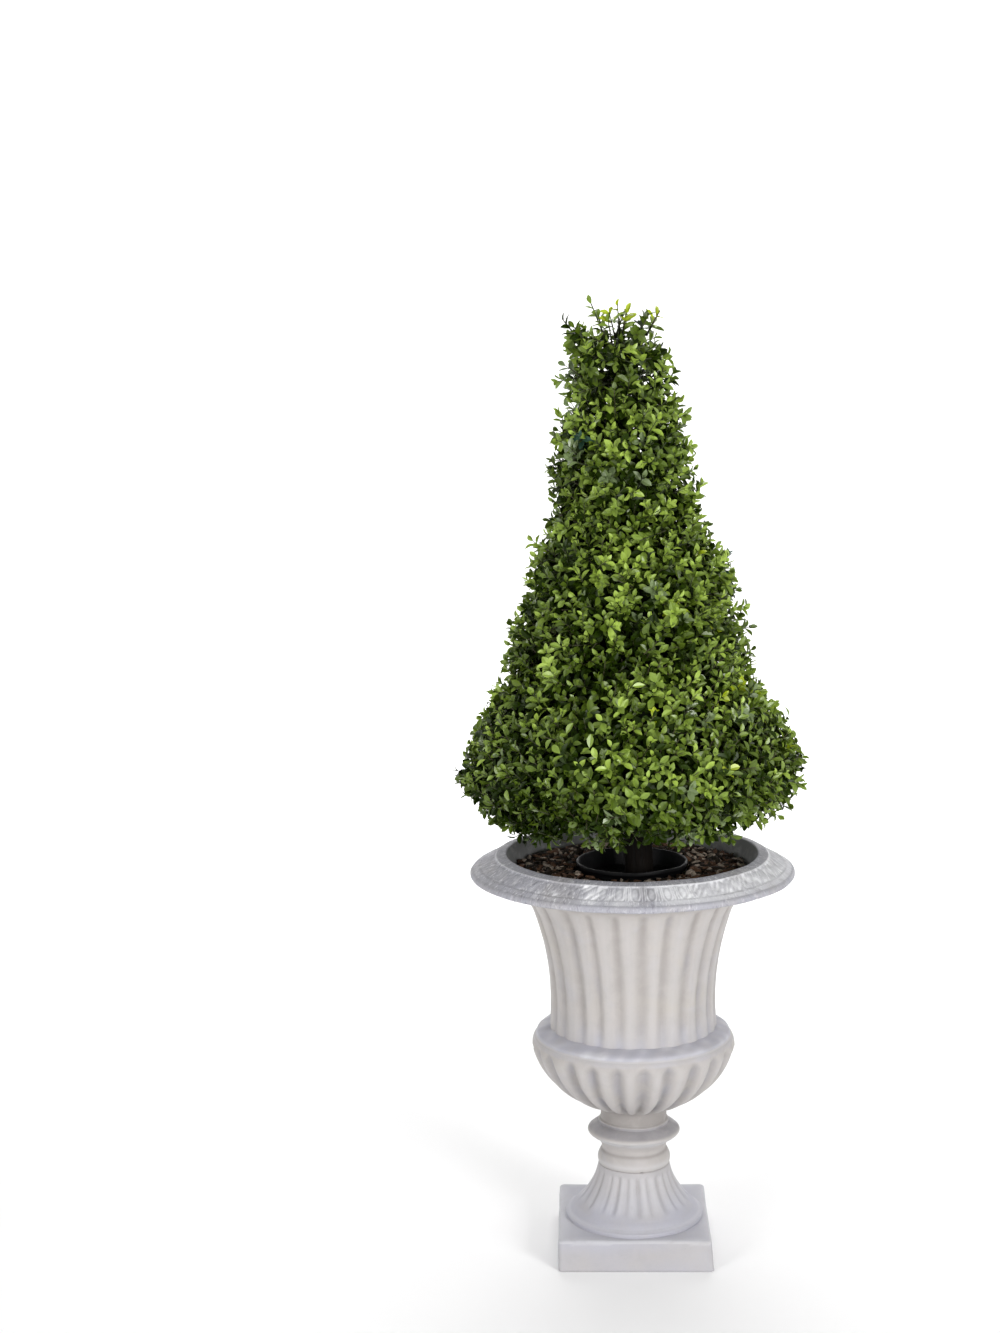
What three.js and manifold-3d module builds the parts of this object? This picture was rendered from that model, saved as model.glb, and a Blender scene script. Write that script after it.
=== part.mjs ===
// An artificial boxwood cone topiary, standing in its nursery pot in a fluted pedestal urn.
// Millimetres, +Z up. The origin is the centre of the plinth's flat underside, and -Y is the front.
import * as THREE from "three";
import { mergeVertices } from "three/addons/utils/BufferGeometryUtils.js";
import Module from "manifold-3d";

const wasm = await Module();
wasm.setup();

// Driving dimensions of the urn. Heights are above the ground, and radii are from the urn's axis.
const GAP = 0.3;
const FLUTES = 24;
const SIDES_PER_FLUTE = 3;
const FLUTED_SIDES = FLUTES * SIDES_PER_FLUTE;
const TURNED_SIDES = 36;
const INNER_SIDES = 24;
const PLINTH = { width: 218, taper: 0.04, height: 44.7, corner: 7, edge: 5 };
const BASE_RING = { radius: 98, edge: 48.7, bevel: 2, step: 91, stepHeight: 52.7 };
const FOOT = { wide: 84, start: 61, curveRadius: 56.8, curveHeight: 88, waist: 52.3, end: 121, depth: 2.6 };
const JOINT = { height: 122, bevel: 2 };
const LOWER_RING = { bulge: 54.3, middle: 131, end: 137.5 };
const NECK = {
  radius: 48.6,
  collar: 144,
  cove: 149,
  coveRadius: 52,
  bead: 51,
  beadStart: 183,
  start: 188,
  end: 197,
};
const TORUS = { radius: 69.3, middle: 170.5, lip: 64.3, half: 4 };
const BOWL = {
  foot: 54,
  start: 209.5,
  curveRadius: 125,
  curveHeight: 236,
  radius: 143.3,
  widest: 297,
  lip: 303,
  depth: 7,
};
const SHELF = { radius: 137.2, bead: 138.5, beadTop: 311.5, notch: 313, edge: 316, slope: 5 };
const BODY = { foot: 118.3, start: 326, waist: 113.5, flare: 116.5, top: 141, end: 499, depth: 3.2 };
const RIM = {
  opening: 176.5,
  top: 577,
  lip: 191,
  lipHeight: 573.5,
  radius: 227.7,
  height: 548.6,
  fall: 7,
  round: 5.5,
  cove: 159,
  coveHeight: 518,
};
const HOLLOW = { floor: 250, bottom: 60, wall: 103, curveEnd: 320, waist: 370, throat: 126, shoulder: 152 };

// Driving dimensions of what fills the urn.
const FILLER_TOP = 524;
const BARK = { top: 553, bump: 2.5, rings: 2, wavesAcross: 0.11, wavesDeep: 0.13 };
const POT = { rim: 78.6, top: 564.2, foot: 58, bottom: 424, wall: 1.8, lip: 3, lipHeight: 6 };
const BALLAST_TOP = 541;

// Driving dimensions of the plant. It leans a little to the left from where its pole leaves the ballast.
const LEAN = THREE.MathUtils.degToRad(1.86);
const POLE = { x: 10, foot: 450, base: 20.5, tip: 8, top: 1290, sides: 12 };
const CROWN = {
  top: 1336,
  topRadius: 44,
  shoulder: 830,
  shoulderRadius: 185,
  widest: 700,
  radius: 247,
  underside: 612,
  roundness: 144,
};
const CORE = { inset: 34, top: 1296, bottom: 645, sides: 20, rows: 10, bump: 6, bumps: 5, twist: 0.05 };
const SPRIG = {
  spacing: 72,
  rowPitch: 0.86,
  jitter: 0.4,
  twig: 3,
  root: 12,
  rise: 0.5,
  droop: 0.15,
  leaves: 3,
  leafFrom: 0.6,
  leafStep: 0.1,
  spread: 1.3,
};
const LEAF = { length: 46, width: 29, thickness: 3.6, widestAt: 0.58, slack: 8, inside: 22, shortfall: 8 };
const TUFT = { sprigs: 5, foot: 8, top: 1352, unevenness: 14, spread: 46 };
const SEED = 7;

const FINISH = {
  plinth: new THREE.MeshStandardMaterial({ color: 0xc9c8cc, roughness: 0.8, metalness: 0 }),
  vessel: new THREE.MeshStandardMaterial({ color: 0xcdc9c2, roughness: 0.75, metalness: 0 }),
  fill: new THREE.MeshStandardMaterial({ color: 0x5a5148, roughness: 1, metalness: 0 }),
  bark: new THREE.MeshStandardMaterial({ color: 0x3b2a22, roughness: 0.95, metalness: 0 }),
  pot: new THREE.MeshStandardMaterial({ color: 0x121213, roughness: 0.45, metalness: 0 }),
  ballast: new THREE.MeshStandardMaterial({ color: 0x1a1919, roughness: 0.9, metalness: 0 }),
  pole: new THREE.MeshStandardMaterial({ color: 0x17120f, roughness: 0.85, metalness: 0 }),
  leaves: new THREE.MeshStandardMaterial({ color: 0x4c6b22, roughness: 0.5, metalness: 0 }),
};

// Closed geometry to solid, and back to a named mesh

function solidOf(geometry) {
  const bare = geometry.clone();
  bare.deleteAttribute("normal");
  bare.deleteAttribute("uv");
  const merged = mergeVertices(bare, 1e-3);
  return new wasm.Manifold(
    new wasm.Mesh({
      numProp: 3,
      vertProperties: merged.attributes.position.array,
      triVerts: new Uint32Array(merged.index.array),
    }),
  );
}

// The largest body without the hollows that fusing may seal in it.
function mainBody(solid) {
  return solid.decompose().reduce((largest, body) => (body.volume() > largest.volume() ? body : largest));
}

function meshOf(name, solid, material) {
  const { vertProperties, triVerts } = solid.getMesh();
  const geometry = new THREE.BufferGeometry();
  geometry.setAttribute("position", new THREE.BufferAttribute(vertProperties, 3));
  geometry.setIndex(new THREE.BufferAttribute(triVerts, 1));
  geometry.computeVertexNormals();
  const mesh = new THREE.Mesh(geometry, material);
  mesh.name = name;
  return mesh;
}

// Turned shapes

// A side, and so the flat of a rib, faces the front.
function turned(path, sides, divisions = 3) {
  return new THREE.LatheGeometry(path.getPoints(divisions), sides, Math.PI / sides).rotateX(Math.PI / 2);
}

// Pulls a turned surface in between its ribs. A rib is centred at the front.
// shape gives how deep the surface lies, from 0 on the rib to 1 in the groove.
function fluted(geometry, depthAt, shape) {
  const position = geometry.attributes.position;
  for (let i = 0; i < position.count; i += 1) {
    const radius = Math.hypot(position.getX(i), position.getY(i));
    const turn = Math.atan2(position.getX(i), -position.getY(i)) / (2 * Math.PI);
    const fromRib = 2 * Math.abs(turn * FLUTES - Math.round(turn * FLUTES));
    const depth = depthAt(position.getZ(i)) * shape(fromRib);
    const scale = radius > depth ? (radius - depth) / radius : 1;
    position.setXY(i, position.getX(i) * scale, position.getY(i) * scale);
  }
  return geometry;
}

const wave = (fromRib) => (1 - Math.cos(Math.PI * fromRib)) / 2;
const lobe = (fromRib) => 1 - Math.sqrt(1 - Math.min(1, fromRib) ** 2);

// Rises from 0 to 1 over fade at each end of the stretch from start to end.
function between(height, start, end, fade) {
  const inside = Math.min(height - start, end - height);
  return THREE.MathUtils.smoothstep(inside, 0, fade);
}

// The pedestal: a square plinth, a stepped ring and a fluted foot, moulded in one

function plinth() {
  const half = PLINTH.width / 2 - PLINTH.edge;
  const round = PLINTH.corner;
  const outline = new THREE.Shape();
  outline.absarc(half - round, half - round, round, 0, Math.PI / 2);
  outline.absarc(round - half, half - round, round, Math.PI / 2, Math.PI);
  outline.absarc(round - half, round - half, round, Math.PI, 1.5 * Math.PI);
  outline.absarc(half - round, round - half, round, 1.5 * Math.PI, 2 * Math.PI);
  const buried = 2 * PLINTH.edge;
  const block = new THREE.ExtrudeGeometry(outline, {
    depth: PLINTH.height + buried - PLINTH.edge,
    curveSegments: 4,
    bevelThickness: PLINTH.edge,
    bevelSize: PLINTH.edge,
    bevelSegments: 3,
  }).translate(0, 0, -buried);
  const position = block.attributes.position;
  for (let i = 0; i < position.count; i += 1) {
    const scale = 1 - (PLINTH.taper * position.getZ(i)) / PLINTH.height;
    position.setXY(i, position.getX(i) * scale, position.getY(i) * scale);
  }
  const ground = new THREE.BoxGeometry(2 * PLINTH.width, 2 * PLINTH.width, 4 * PLINTH.edge);
  ground.translate(0, 0, -2 * PLINTH.edge);
  return solidOf(block).subtract(solidOf(ground));
}

function foot() {
  const path = new THREE.Path();
  path.moveTo(0, PLINTH.height - PLINTH.edge);
  path.lineTo(BASE_RING.radius, PLINTH.height - PLINTH.edge);
  path.lineTo(BASE_RING.radius, BASE_RING.edge);
  path.lineTo(BASE_RING.radius - BASE_RING.bevel, BASE_RING.edge + BASE_RING.bevel);
  path.lineTo(BASE_RING.step, BASE_RING.stepHeight);
  path.quadraticCurveTo(BASE_RING.step, FOOT.start - BASE_RING.bevel, FOOT.wide, FOOT.start);
  path.quadraticCurveTo(FOOT.curveRadius, FOOT.curveHeight, FOOT.waist, FOOT.end);
  path.lineTo(FOOT.waist - JOINT.bevel, JOINT.height);
  path.lineTo(0, JOINT.height);
  const depth = (height) => FOOT.depth * between(height, FOOT.start, FOOT.end, 8);
  return solidOf(fluted(turned(path, FLUTED_SIDES, 3), depth, wave));
}

// The vessel: rings and neck, gadrooned bowl, sloping shelf, fluted body and rolled rim, with its hollow

function neck() {
  const inBowl = BOWL.start + GAP;
  const path = new THREE.Path();
  path.moveTo(0, JOINT.height);
  path.lineTo(FOOT.waist - JOINT.bevel, JOINT.height);
  path.lineTo(FOOT.waist, JOINT.height + JOINT.bevel);
  path.quadraticCurveTo(LOWER_RING.bulge, LOWER_RING.middle, FOOT.waist, LOWER_RING.end);
  path.lineTo(NECK.radius, NECK.collar);
  path.lineTo(NECK.radius, NECK.cove);
  path.quadraticCurveTo(NECK.coveRadius, NECK.cove + 11, TORUS.lip, TORUS.middle - TORUS.half);
  path.quadraticCurveTo(TORUS.radius, TORUS.middle, TORUS.lip, TORUS.middle + TORUS.half);
  path.lineTo(NECK.bead, NECK.beadStart);
  path.lineTo(NECK.bead, NECK.start - JOINT.bevel);
  path.lineTo(NECK.radius, NECK.start);
  path.lineTo(NECK.radius, NECK.end);
  path.quadraticCurveTo(NECK.radius, BOWL.start - JOINT.bevel, BOWL.foot, inBowl);
  path.lineTo(0, inBowl);
  return solidOf(turned(path, TURNED_SIDES, 2));
}

function bowlBodyAndRim() {
  const path = new THREE.Path();
  path.moveTo(0, BOWL.start);
  path.lineTo(BOWL.foot, BOWL.start);
  path.quadraticCurveTo(BOWL.curveRadius, BOWL.curveHeight, BOWL.radius, BOWL.widest);
  path.lineTo(BOWL.radius, BOWL.lip);
  path.lineTo(SHELF.bead, SHELF.beadTop);
  path.lineTo(SHELF.radius, SHELF.notch);
  path.lineTo(SHELF.radius, SHELF.edge);
  path.quadraticCurveTo(SHELF.radius, SHELF.edge + SHELF.slope, BODY.foot, BODY.start);
  path.bezierCurveTo(BODY.waist, 375, BODY.flare, 430, BODY.top, BODY.end);
  path.lineTo(RIM.cove, RIM.coveHeight);
  path.lineTo(RIM.radius - RIM.round, RIM.height - RIM.fall);
  path.lineTo(RIM.radius, RIM.height);
  path.lineTo(RIM.radius - RIM.round, RIM.height + RIM.fall);
  path.lineTo(RIM.lip, RIM.lipHeight);
  path.lineTo(RIM.opening, RIM.top);
  path.lineTo(0, RIM.top);
  const outside = turned(path, FLUTED_SIDES, 4);
  const lobes = (height) => BOWL.depth * between(height, BOWL.start, SHELF.beadTop, 22);
  fluted(outside, lobes, lobe);
  const ribs = (height) => BODY.depth * between(height, SHELF.edge + SHELF.slope, BODY.end + 4, 14);
  return solidOf(fluted(outside, ribs, wave));
}

// The hollow from its floor to the given height. inset makes it smaller, for what fills it.
function hollow(top, inset) {
  const path = new THREE.Path();
  const wall = HOLLOW.wall - inset;
  const throat = HOLLOW.throat - inset;
  const opening = RIM.opening - inset;
  path.moveTo(0, HOLLOW.floor + inset);
  path.lineTo(HOLLOW.bottom - inset, HOLLOW.floor + inset);
  path.quadraticCurveTo(wall, HOLLOW.floor + 18, wall, HOLLOW.curveEnd);
  path.lineTo(wall, HOLLOW.waist);
  path.quadraticCurveTo(wall, 440, throat, BODY.end);
  path.quadraticCurveTo(throat + 8, RIM.coveHeight, HOLLOW.shoulder - inset, FILLER_TOP + 6);
  path.quadraticCurveTo(opening - 6, 544, opening - 3, RIM.lipHeight);
  path.lineTo(opening, RIM.top);
  path.lineTo(opening, RIM.top + 20);
  path.lineTo(0, RIM.top + 20);
  return solidOf(turned(path, INNER_SIDES)).subtract(solidOf(slabAbove(top)));
}

function slabAbove(height) {
  const size = 4 * RIM.radius;
  return new THREE.BoxGeometry(size, size, size).translate(0, 0, height + size / 2);
}

// What stands in the vessel: filler, bark chippings, the black nursery pot and its ballast

function potRadius(height) {
  return THREE.MathUtils.mapLinear(height, POT.bottom, POT.top, POT.foot, POT.rim - POT.lip);
}

// The pot's tapered shape up to a height, made smaller by inset.
function potShape(inset, top) {
  const bottom = POT.bottom + inset;
  const path = new THREE.Path();
  path.moveTo(0, bottom);
  path.lineTo(potRadius(bottom) - inset, bottom);
  path.lineTo(potRadius(top) - inset, top);
  path.lineTo(0, top);
  return solidOf(turned(path, INNER_SIDES));
}

function nurseryPot() {
  const lip = new THREE.Path();
  lip.moveTo(0, POT.top - POT.lipHeight);
  lip.lineTo(POT.rim - 0.5, POT.top - POT.lipHeight);
  lip.lineTo(POT.rim, POT.top - 2);
  lip.lineTo(POT.rim - 1, POT.top);
  lip.lineTo(0, POT.top);
  const outside = potShape(0, POT.top - 1).add(solidOf(turned(lip, INNER_SIDES)));
  return outside.subtract(potShape(POT.wall, POT.top + 5));
}

function barkChippings() {
  const path = new THREE.Path();
  path.moveTo(0, FILLER_TOP);
  path.lineTo(RIM.opening, FILLER_TOP);
  path.lineTo(RIM.opening, BARK.top);
  for (let ring = 1; ring <= BARK.rings; ring += 1) {
    path.lineTo(THREE.MathUtils.lerp(RIM.opening, POT.foot, ring / BARK.rings), BARK.top);
  }
  path.lineTo(0, BARK.top);
  const layer = turned(path, INNER_SIDES);
  const position = layer.attributes.position;
  for (let i = 0; i < position.count; i += 1) {
    const across = Math.sin(BARK.wavesAcross * position.getX(i));
    const rough = across * Math.cos(BARK.wavesDeep * position.getY(i));
    if (position.getZ(i) > FILLER_TOP) {
      position.setZ(i, BARK.top + BARK.bump * rough);
    }
  }
  const insideTheWall = hollow(RIM.top, 2 * GAP);
  return solidOf(layer).intersect(insideTheWall).subtract(potShape(-GAP, RIM.top));
}

// The plant stands in a group of its own, which carries its lean

const plant = new THREE.Group();
plant.position.set(POLE.x, 0, BALLAST_TOP);
plant.rotation.y = -LEAN;
plant.updateMatrixWorld();

// Heights inside the group are written as heights above the ground, less this.
const ABOVE_GROUND = BALLAST_TOP;

function poleRadius(height) {
  return THREE.MathUtils.mapLinear(height, BALLAST_TOP, POLE.top, POLE.base, POLE.tip);
}

function pole(clearance) {
  const low = POLE.foot - clearance;
  const high = POLE.top + clearance;
  const shaft = new THREE.CylinderGeometry(
    poleRadius(high) + clearance,
    poleRadius(low) + clearance,
    high - low,
    POLE.sides,
  );
  return shaft.rotateX(Math.PI / 2).translate(0, 0, (high + low) / 2 - ABOVE_GROUND);
}

function ballast() {
  return potShape(POT.wall + GAP, BALLAST_TOP).subtract(
    solidOf(pole(GAP).applyMatrix4(plant.matrixWorld)),
  );
}

// The outline that the clipped leaves reach: a cone, a flared skirt and a rounded lower edge.
function crownRadius(height) {
  if (height > CROWN.shoulder) {
    return THREE.MathUtils.mapLinear(
      height, CROWN.shoulder, CROWN.top, CROWN.shoulderRadius, CROWN.topRadius);
  }
  if (height > CROWN.widest) {
    return THREE.MathUtils.mapLinear(
      height, CROWN.widest, CROWN.shoulder, CROWN.radius, CROWN.shoulderRadius);
  }
  return CROWN.radius * Math.sqrt(1 - ((CROWN.widest - height) / CROWN.roundness) ** 2);
}

function seeded(seed) {
  let state = seed;
  return () => {
    state = (state * 1664525 + 1013904223) % 4294967296;
    return state / 4294967296;
  };
}

// The dense inner mass that the sprigs stand out of, cut clear of the pole.
function core() {
  const path = new THREE.Path();
  path.moveTo(0, CORE.bottom);
  for (let row = 0; row <= CORE.rows; row += 1) {
    const height = THREE.MathUtils.lerp(CORE.bottom, CORE.top, row / CORE.rows);
    path.lineTo(crownRadius(height) - CORE.inset, height);
  }
  path.lineTo(0, CORE.top + CORE.inset / 2);
  const mass = turned(path, CORE.sides);
  const position = mass.attributes.position;
  for (let i = 0; i < position.count; i += 1) {
    const turn = Math.atan2(position.getX(i), position.getY(i));
    const bump = CORE.bump * Math.sin(CORE.bumps * turn + CORE.twist * position.getZ(i));
    const radius = Math.hypot(position.getX(i), position.getY(i));
    const scale = radius > 1 ? (radius + bump) / radius : 1;
    position.setXY(i, position.getX(i) * scale, position.getY(i) * scale);
  }
  return solidOf(mass.translate(0, 0, -ABOVE_GROUND)).subtract(solidOf(pole(GAP)));
}

// Turns a piece that grows along +Z from the origin, so that its +Y side faces a way, and sets its root.
function grown(geometry, root, heading, facing) {
  const across = new THREE.Vector3().crossVectors(facing, heading).normalize();
  const outward = new THREE.Vector3().crossVectors(heading, across);
  const placed = new THREE.Matrix4().makeBasis(across, outward, heading).setPosition(root);
  return geometry.clone().applyMatrix4(placed);
}

function leafShape() {
  const blade = new THREE.OctahedronGeometry(1);
  const position = blade.attributes.position;
  for (let i = 0; i < position.count; i += 1) {
    const along = position.getZ(i) === 0 ? LEAF.widestAt : (1 + position.getZ(i)) / 2;
    position.setXYZ(
      i,
      (position.getX(i) * LEAF.width) / 2,
      (position.getY(i) * LEAF.thickness) / 2,
      along * LEAF.length,
    );
  }
  return blade;
}

function insideCrown(point) {
  const height = point.z + ABOVE_GROUND;
  const low = CROWN.underside - LEAF.thickness;
  const reach = crownRadius(Math.min(height, CROWN.top)) + LEAF.slack;
  return height > low && Math.hypot(point.x, point.y) < reach;
}

// A three-sided twig with a rosette of leaves that spread from its tip and face outward, as solids.
function sprig(root, direction, length, random, allowed) {
  const side = new THREE.Vector3().crossVectors(direction, new THREE.Vector3(0, 0, 1)).normalize();
  side.applyAxisAngle(direction, random() * Math.PI);
  const twig = new THREE.ConeGeometry(SPRIG.twig, length, 3).rotateX(Math.PI / 2).translate(0, 0, length / 2);
  const pieces = [solidOf(grown(twig, root, direction, side))];
  for (let k = 0; k < SPRIG.leaves; k += 1) {
    const foot = root.clone().addScaledVector(direction, length * (SPRIG.leafFrom + SPRIG.leafStep * k));
    const heading = side.clone().multiplyScalar(SPRIG.spread).add(direction).normalize();
    const tip = foot.clone().addScaledVector(heading, LEAF.length);
    if (allowed(tip)) {
      pieces.push(solidOf(grown(leafShape(), foot, heading, direction)));
    }
    side.applyAxisAngle(direction, (2 * Math.PI) / SPRIG.leaves);
  }
  return pieces;
}

// Sprigs in rows round the crown, evenly spaced and staggered by seeded chance.
function sprigsOnTheSides(random) {
  const pieces = [];
  for (let height = CORE.bottom + 12; height < CORE.top; height += SPRIG.spacing * SPRIG.rowPitch) {
    const count = Math.round((2 * Math.PI * crownRadius(height)) / SPRIG.spacing);
    const start = random();
    for (let k = 0; k < count; k += 1) {
      const turn = ((k + start + SPRIG.jitter * (random() - 0.5)) / count) * 2 * Math.PI;
      const level = height + SPRIG.spacing * SPRIG.jitter * (random() - 0.5);
      const out = new THREE.Vector3(Math.sin(turn), -Math.cos(turn), 0);
      const rise = (level > CROWN.widest ? SPRIG.rise : -SPRIG.droop) * (0.6 + 0.8 * random());
      const direction = new THREE.Vector3(0, 0, rise).add(out).normalize();
      const inner = crownRadius(level) - CORE.inset - SPRIG.root;
      const root = out.clone().multiplyScalar(inner).setZ(level - ABOVE_GROUND);
      const reach = crownRadius(level) - LEAF.shortfall * random() - inner;
      const length = reach / direction.dot(out) - LEAF.inside;
      pieces.push(...sprig(root, direction, length, random, insideCrown));
    }
  }
  return pieces;
}

function sprigsUnderneath(random) {
  const pieces = [];
  const outer = crownRadius(CORE.bottom) - CORE.inset;
  for (let radius = outer - 12; radius > 2 * POLE.base; radius -= SPRIG.spacing) {
    const count = Math.round((2 * Math.PI * radius) / SPRIG.spacing);
    for (let k = 0; k < count; k += 1) {
      const turn = ((k + SPRIG.jitter * random()) / count) * 2 * Math.PI;
      const out = new THREE.Vector3(Math.sin(turn), -Math.cos(turn), 0);
      const direction = new THREE.Vector3(0, 0, -0.5).add(out).normalize();
      const root = out.clone().multiplyScalar(radius).setZ(CORE.bottom + 3 - ABOVE_GROUND);
      pieces.push(...sprig(root, direction, 0.7 * LEAF.length, random, insideCrown));
    }
  }
  return pieces;
}

// A few loose sprigs stand up past the clipped top.
function tuft(random) {
  const pieces = [];
  for (let k = 0; k < TUFT.sprigs; k += 1) {
    const turn = ((k + SPRIG.jitter * random()) / TUFT.sprigs) * 2 * Math.PI;
    const out = new THREE.Vector3(Math.sin(turn), -Math.cos(turn), 0);
    const root = out.clone().multiplyScalar(TUFT.foot).setZ(CORE.top - 4 - ABOVE_GROUND);
    const height = TUFT.top - TUFT.unevenness * random();
    const tip = out.clone().multiplyScalar(TUFT.spread).setZ(height - ABOVE_GROUND);
    const direction = tip.clone().sub(root).normalize();
    const length = tip.distanceTo(root) - 0.2 * LEAF.length;
    const belowTop = (point) => point.z + ABOVE_GROUND < TUFT.top;
    pieces.push(...sprig(root, direction, length, random, belowTop));
  }
  return pieces;
}

function crown() {
  const random = seeded(SEED);
  const pieces = [...sprigsOnTheSides(random), ...sprigsUnderneath(random), ...tuft(random)];
  return mainBody(pieces.reduce((whole, piece) => whole.add(piece), core()));
}

// The whole plant in its planter

const topiary = new THREE.Group();
topiary.add(
  meshOf("urn_pedestal", plinth().add(foot()), FINISH.plinth),
  meshOf("urn_vessel", neck().add(bowlBodyAndRim()).subtract(hollow(RIM.top + 10, 0)), FINISH.vessel),
  meshOf("urn_filler", hollow(FILLER_TOP, GAP).subtract(potShape(-GAP, RIM.top)), FINISH.fill),
  meshOf("bark_chippings", barkChippings(), FINISH.bark),
  meshOf("nursery_pot", nurseryPot(), FINISH.pot),
  meshOf("pot_ballast", ballast(), FINISH.ballast),
);
plant.add(
  meshOf("trunk_pole", solidOf(pole(0)), FINISH.pole),
  meshOf("crown_foliage", crown(), FINISH.leaves),
);
topiary.add(plant);

export default topiary;
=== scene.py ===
"""An artificial boxwood cone topiary in its nursery pot and pedestal urn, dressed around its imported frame.

All sizes are in metres, +Z is up, the origin is the centre of the plinth's underside and -Y is the front.
"""
import math
from functools import reduce
from types import SimpleNamespace as Sizes

import bpy
import numpy as np
from bpy.props import FloatProperty, FloatVectorProperty, IntProperty, PointerProperty
from mathutils import Matrix, Vector


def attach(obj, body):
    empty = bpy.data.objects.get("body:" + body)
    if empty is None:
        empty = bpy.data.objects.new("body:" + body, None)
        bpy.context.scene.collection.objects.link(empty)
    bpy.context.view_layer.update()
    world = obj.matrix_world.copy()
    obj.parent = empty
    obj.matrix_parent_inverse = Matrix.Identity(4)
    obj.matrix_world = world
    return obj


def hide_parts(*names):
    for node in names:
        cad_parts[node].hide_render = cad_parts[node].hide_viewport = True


bl_info = {
    "name": "Boxwood cone topiary",
    "version": (1, 0, 0),
    "blender": (4, 5, 0),
    "location": "3D View > Sidebar > Topiary",
    "description": "Builds a boxwood cone topiary and its pedestal urn around a packed frame",
    "category": "Object",
}

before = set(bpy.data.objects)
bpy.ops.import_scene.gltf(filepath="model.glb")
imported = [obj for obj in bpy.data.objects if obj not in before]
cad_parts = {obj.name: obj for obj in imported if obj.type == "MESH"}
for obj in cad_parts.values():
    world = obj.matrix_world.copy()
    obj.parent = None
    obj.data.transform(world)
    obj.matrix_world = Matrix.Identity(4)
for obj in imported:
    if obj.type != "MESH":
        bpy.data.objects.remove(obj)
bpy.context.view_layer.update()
BODY_NAME = "root"

# The urn. Radii are from its axis and heights from the ground.
FLUTES = 24
FLUTED_COLUMNS = FLUTES * 16
CAST_BUMP = Sizes(height=0.00035, size=0.035)
PLINTH = Sizes(width=0.218, taper=0.018, skew=0.0016, height=0.0447, corner=0.006, edge=0.0042, foot=0.0015)
BASE_RING = Sizes(radius=0.098, edge=0.0487, bevel=0.002, step=0.091, step_height=0.0527)
FOOT = Sizes(wide=0.084, start=0.061, curve_radius=0.0568, curve_height=0.088, end=0.121)
JOINT = Sizes(height=0.122, radius=0.0508, bevel=0.0010, chip_turn=0.2, chip=0.0024)
LOWER_RING = Sizes(bulge=0.0530, middle=0.131, end=0.1375)
NECK = Sizes(radius=0.0470, collar=0.144, cove=0.149, cove_radius=0.0505, bead=0.0494,
             bead_start=0.183, start=0.188, end=0.197)
TORUS = Sizes(radius=0.0678, middle=0.1705, lip=0.0624, half=0.0044)
BOWL = Sizes(foot=0.054, start=0.2095, curve_radius=0.125, curve_height=0.236, radius=0.1433,
             widest=0.297, lip=0.303)
SHELF = Sizes(radius=0.1372, bead=0.1390, bead_top=0.3125, notch=0.3135, edge=0.3165, crown=0.3215)
BODY = Sizes(foot=0.1183, start=0.326, waist=0.1135, flare=0.1165, top=0.141, end=0.499)
RIM = Sizes(opening=0.1765, top=0.577, lip=0.191, lip_height=0.5735, radius=0.2277, height=0.5486,
            fall=0.007, round=0.0055, cove=0.1535, cove_height=0.5235, under=0.0032, border=0.2150)
EGG = Sizes(half=0.19, middle=0.50, high=0.36, frame=1.55, bar=0.415)
TURNED_ASKEW = 0.048
HOLLOW = Sizes(floor=0.25, bottom=0.06, wall=0.103, curve_end=0.32, throat=0.126, shoulder=0.152,
               shoulder_height=0.53, bend=0.1705, bend_height=0.544, side=0.1735)

# What fills the urn.
POT = Sizes(rim=0.0782, top=0.5642, foot=0.058, bottom=0.424, wall=0.0018, lip=0.0018, lip_height=0.006)
BARK = Sizes(bed=0.5490, floor=0.5250, pot_side=0.0772, wall_side=0.1672, bump=0.0022)
BALLAST_TOP = 0.541

# The plant. It leans a little to the left from where its pole leaves the ballast.
LEAN = math.radians(1.86)
POLE = Sizes(x=0.010, foot=0.450, base=0.0205, tip=0.008, slim=1.10, top=1.284)
CROWN = Sizes(top=1.336, top_radius=0.046, dense_top=1.313, shoulder=0.830, shoulder_radius=0.185,
              widest=0.700, radius=0.247, underside=0.627, roundness=0.144, bowed=-0.007)
HEART = Sizes(inset=0.066, top=1.15, bottom=0.668, lump=0.006)
SPRIG = Sizes(length=0.058, first_pair=0.003, pair_step=0.0088, twig=0.0011, rise=0.30, wander=0.36,
              shortfall=0.021, strays=0.08, stray_reach=0.014, loose_from=1.10, loose_over=0.16,
              patches=0.22)
BOUGH = Sizes(lowest=0.70, tier=0.055, radius=0.0026, rise=0.3)
PIECE_LEAVES = 12000

# The pairs of leaves down a sprig, from its tip: how far they spread in degrees, their size, and the
# shares of them that are one, two and three tones darker than the tip, as painted shade deeper in the crown.
PAIRS = (
    (32, 0.72, (0.05, 0.00, 0.00)),
    (56, 0.98, (0.25, 0.04, 0.00)),
    (66, 1.05, (0.70, 0.30, 0.05)),
    (70, 1.05, (1.00, 0.70, 0.35)),
    (72, 1.00, (1.00, 1.00, 0.80)),
    (74, 0.95, (1.00, 1.00, 1.00)),
)

# Tones of the leaves, brightest first: name, share of the sprigs, base colour and gloss.
TONES = (
    ("lime", 0.012, (0.370, 0.460, 0.015), 0.50),
    ("bright", 0.273, (0.308, 0.430, 0.062), 0.55),
    ("fresh", 0.325, (0.180, 0.264, 0.034), 0.52),
    ("middle", 0.27, (0.080, 0.126, 0.010), 0.44),
    ("deep", 0.12, (0.016, 0.032, 0.001), 0.14),
    ("silvery", 0.03, (0.150, 0.205, 0.082), 0.60),
    ("teal", 0.001, (0.026, 0.075, 0.048), 0.50),
)
DEEPEST = 4

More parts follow.
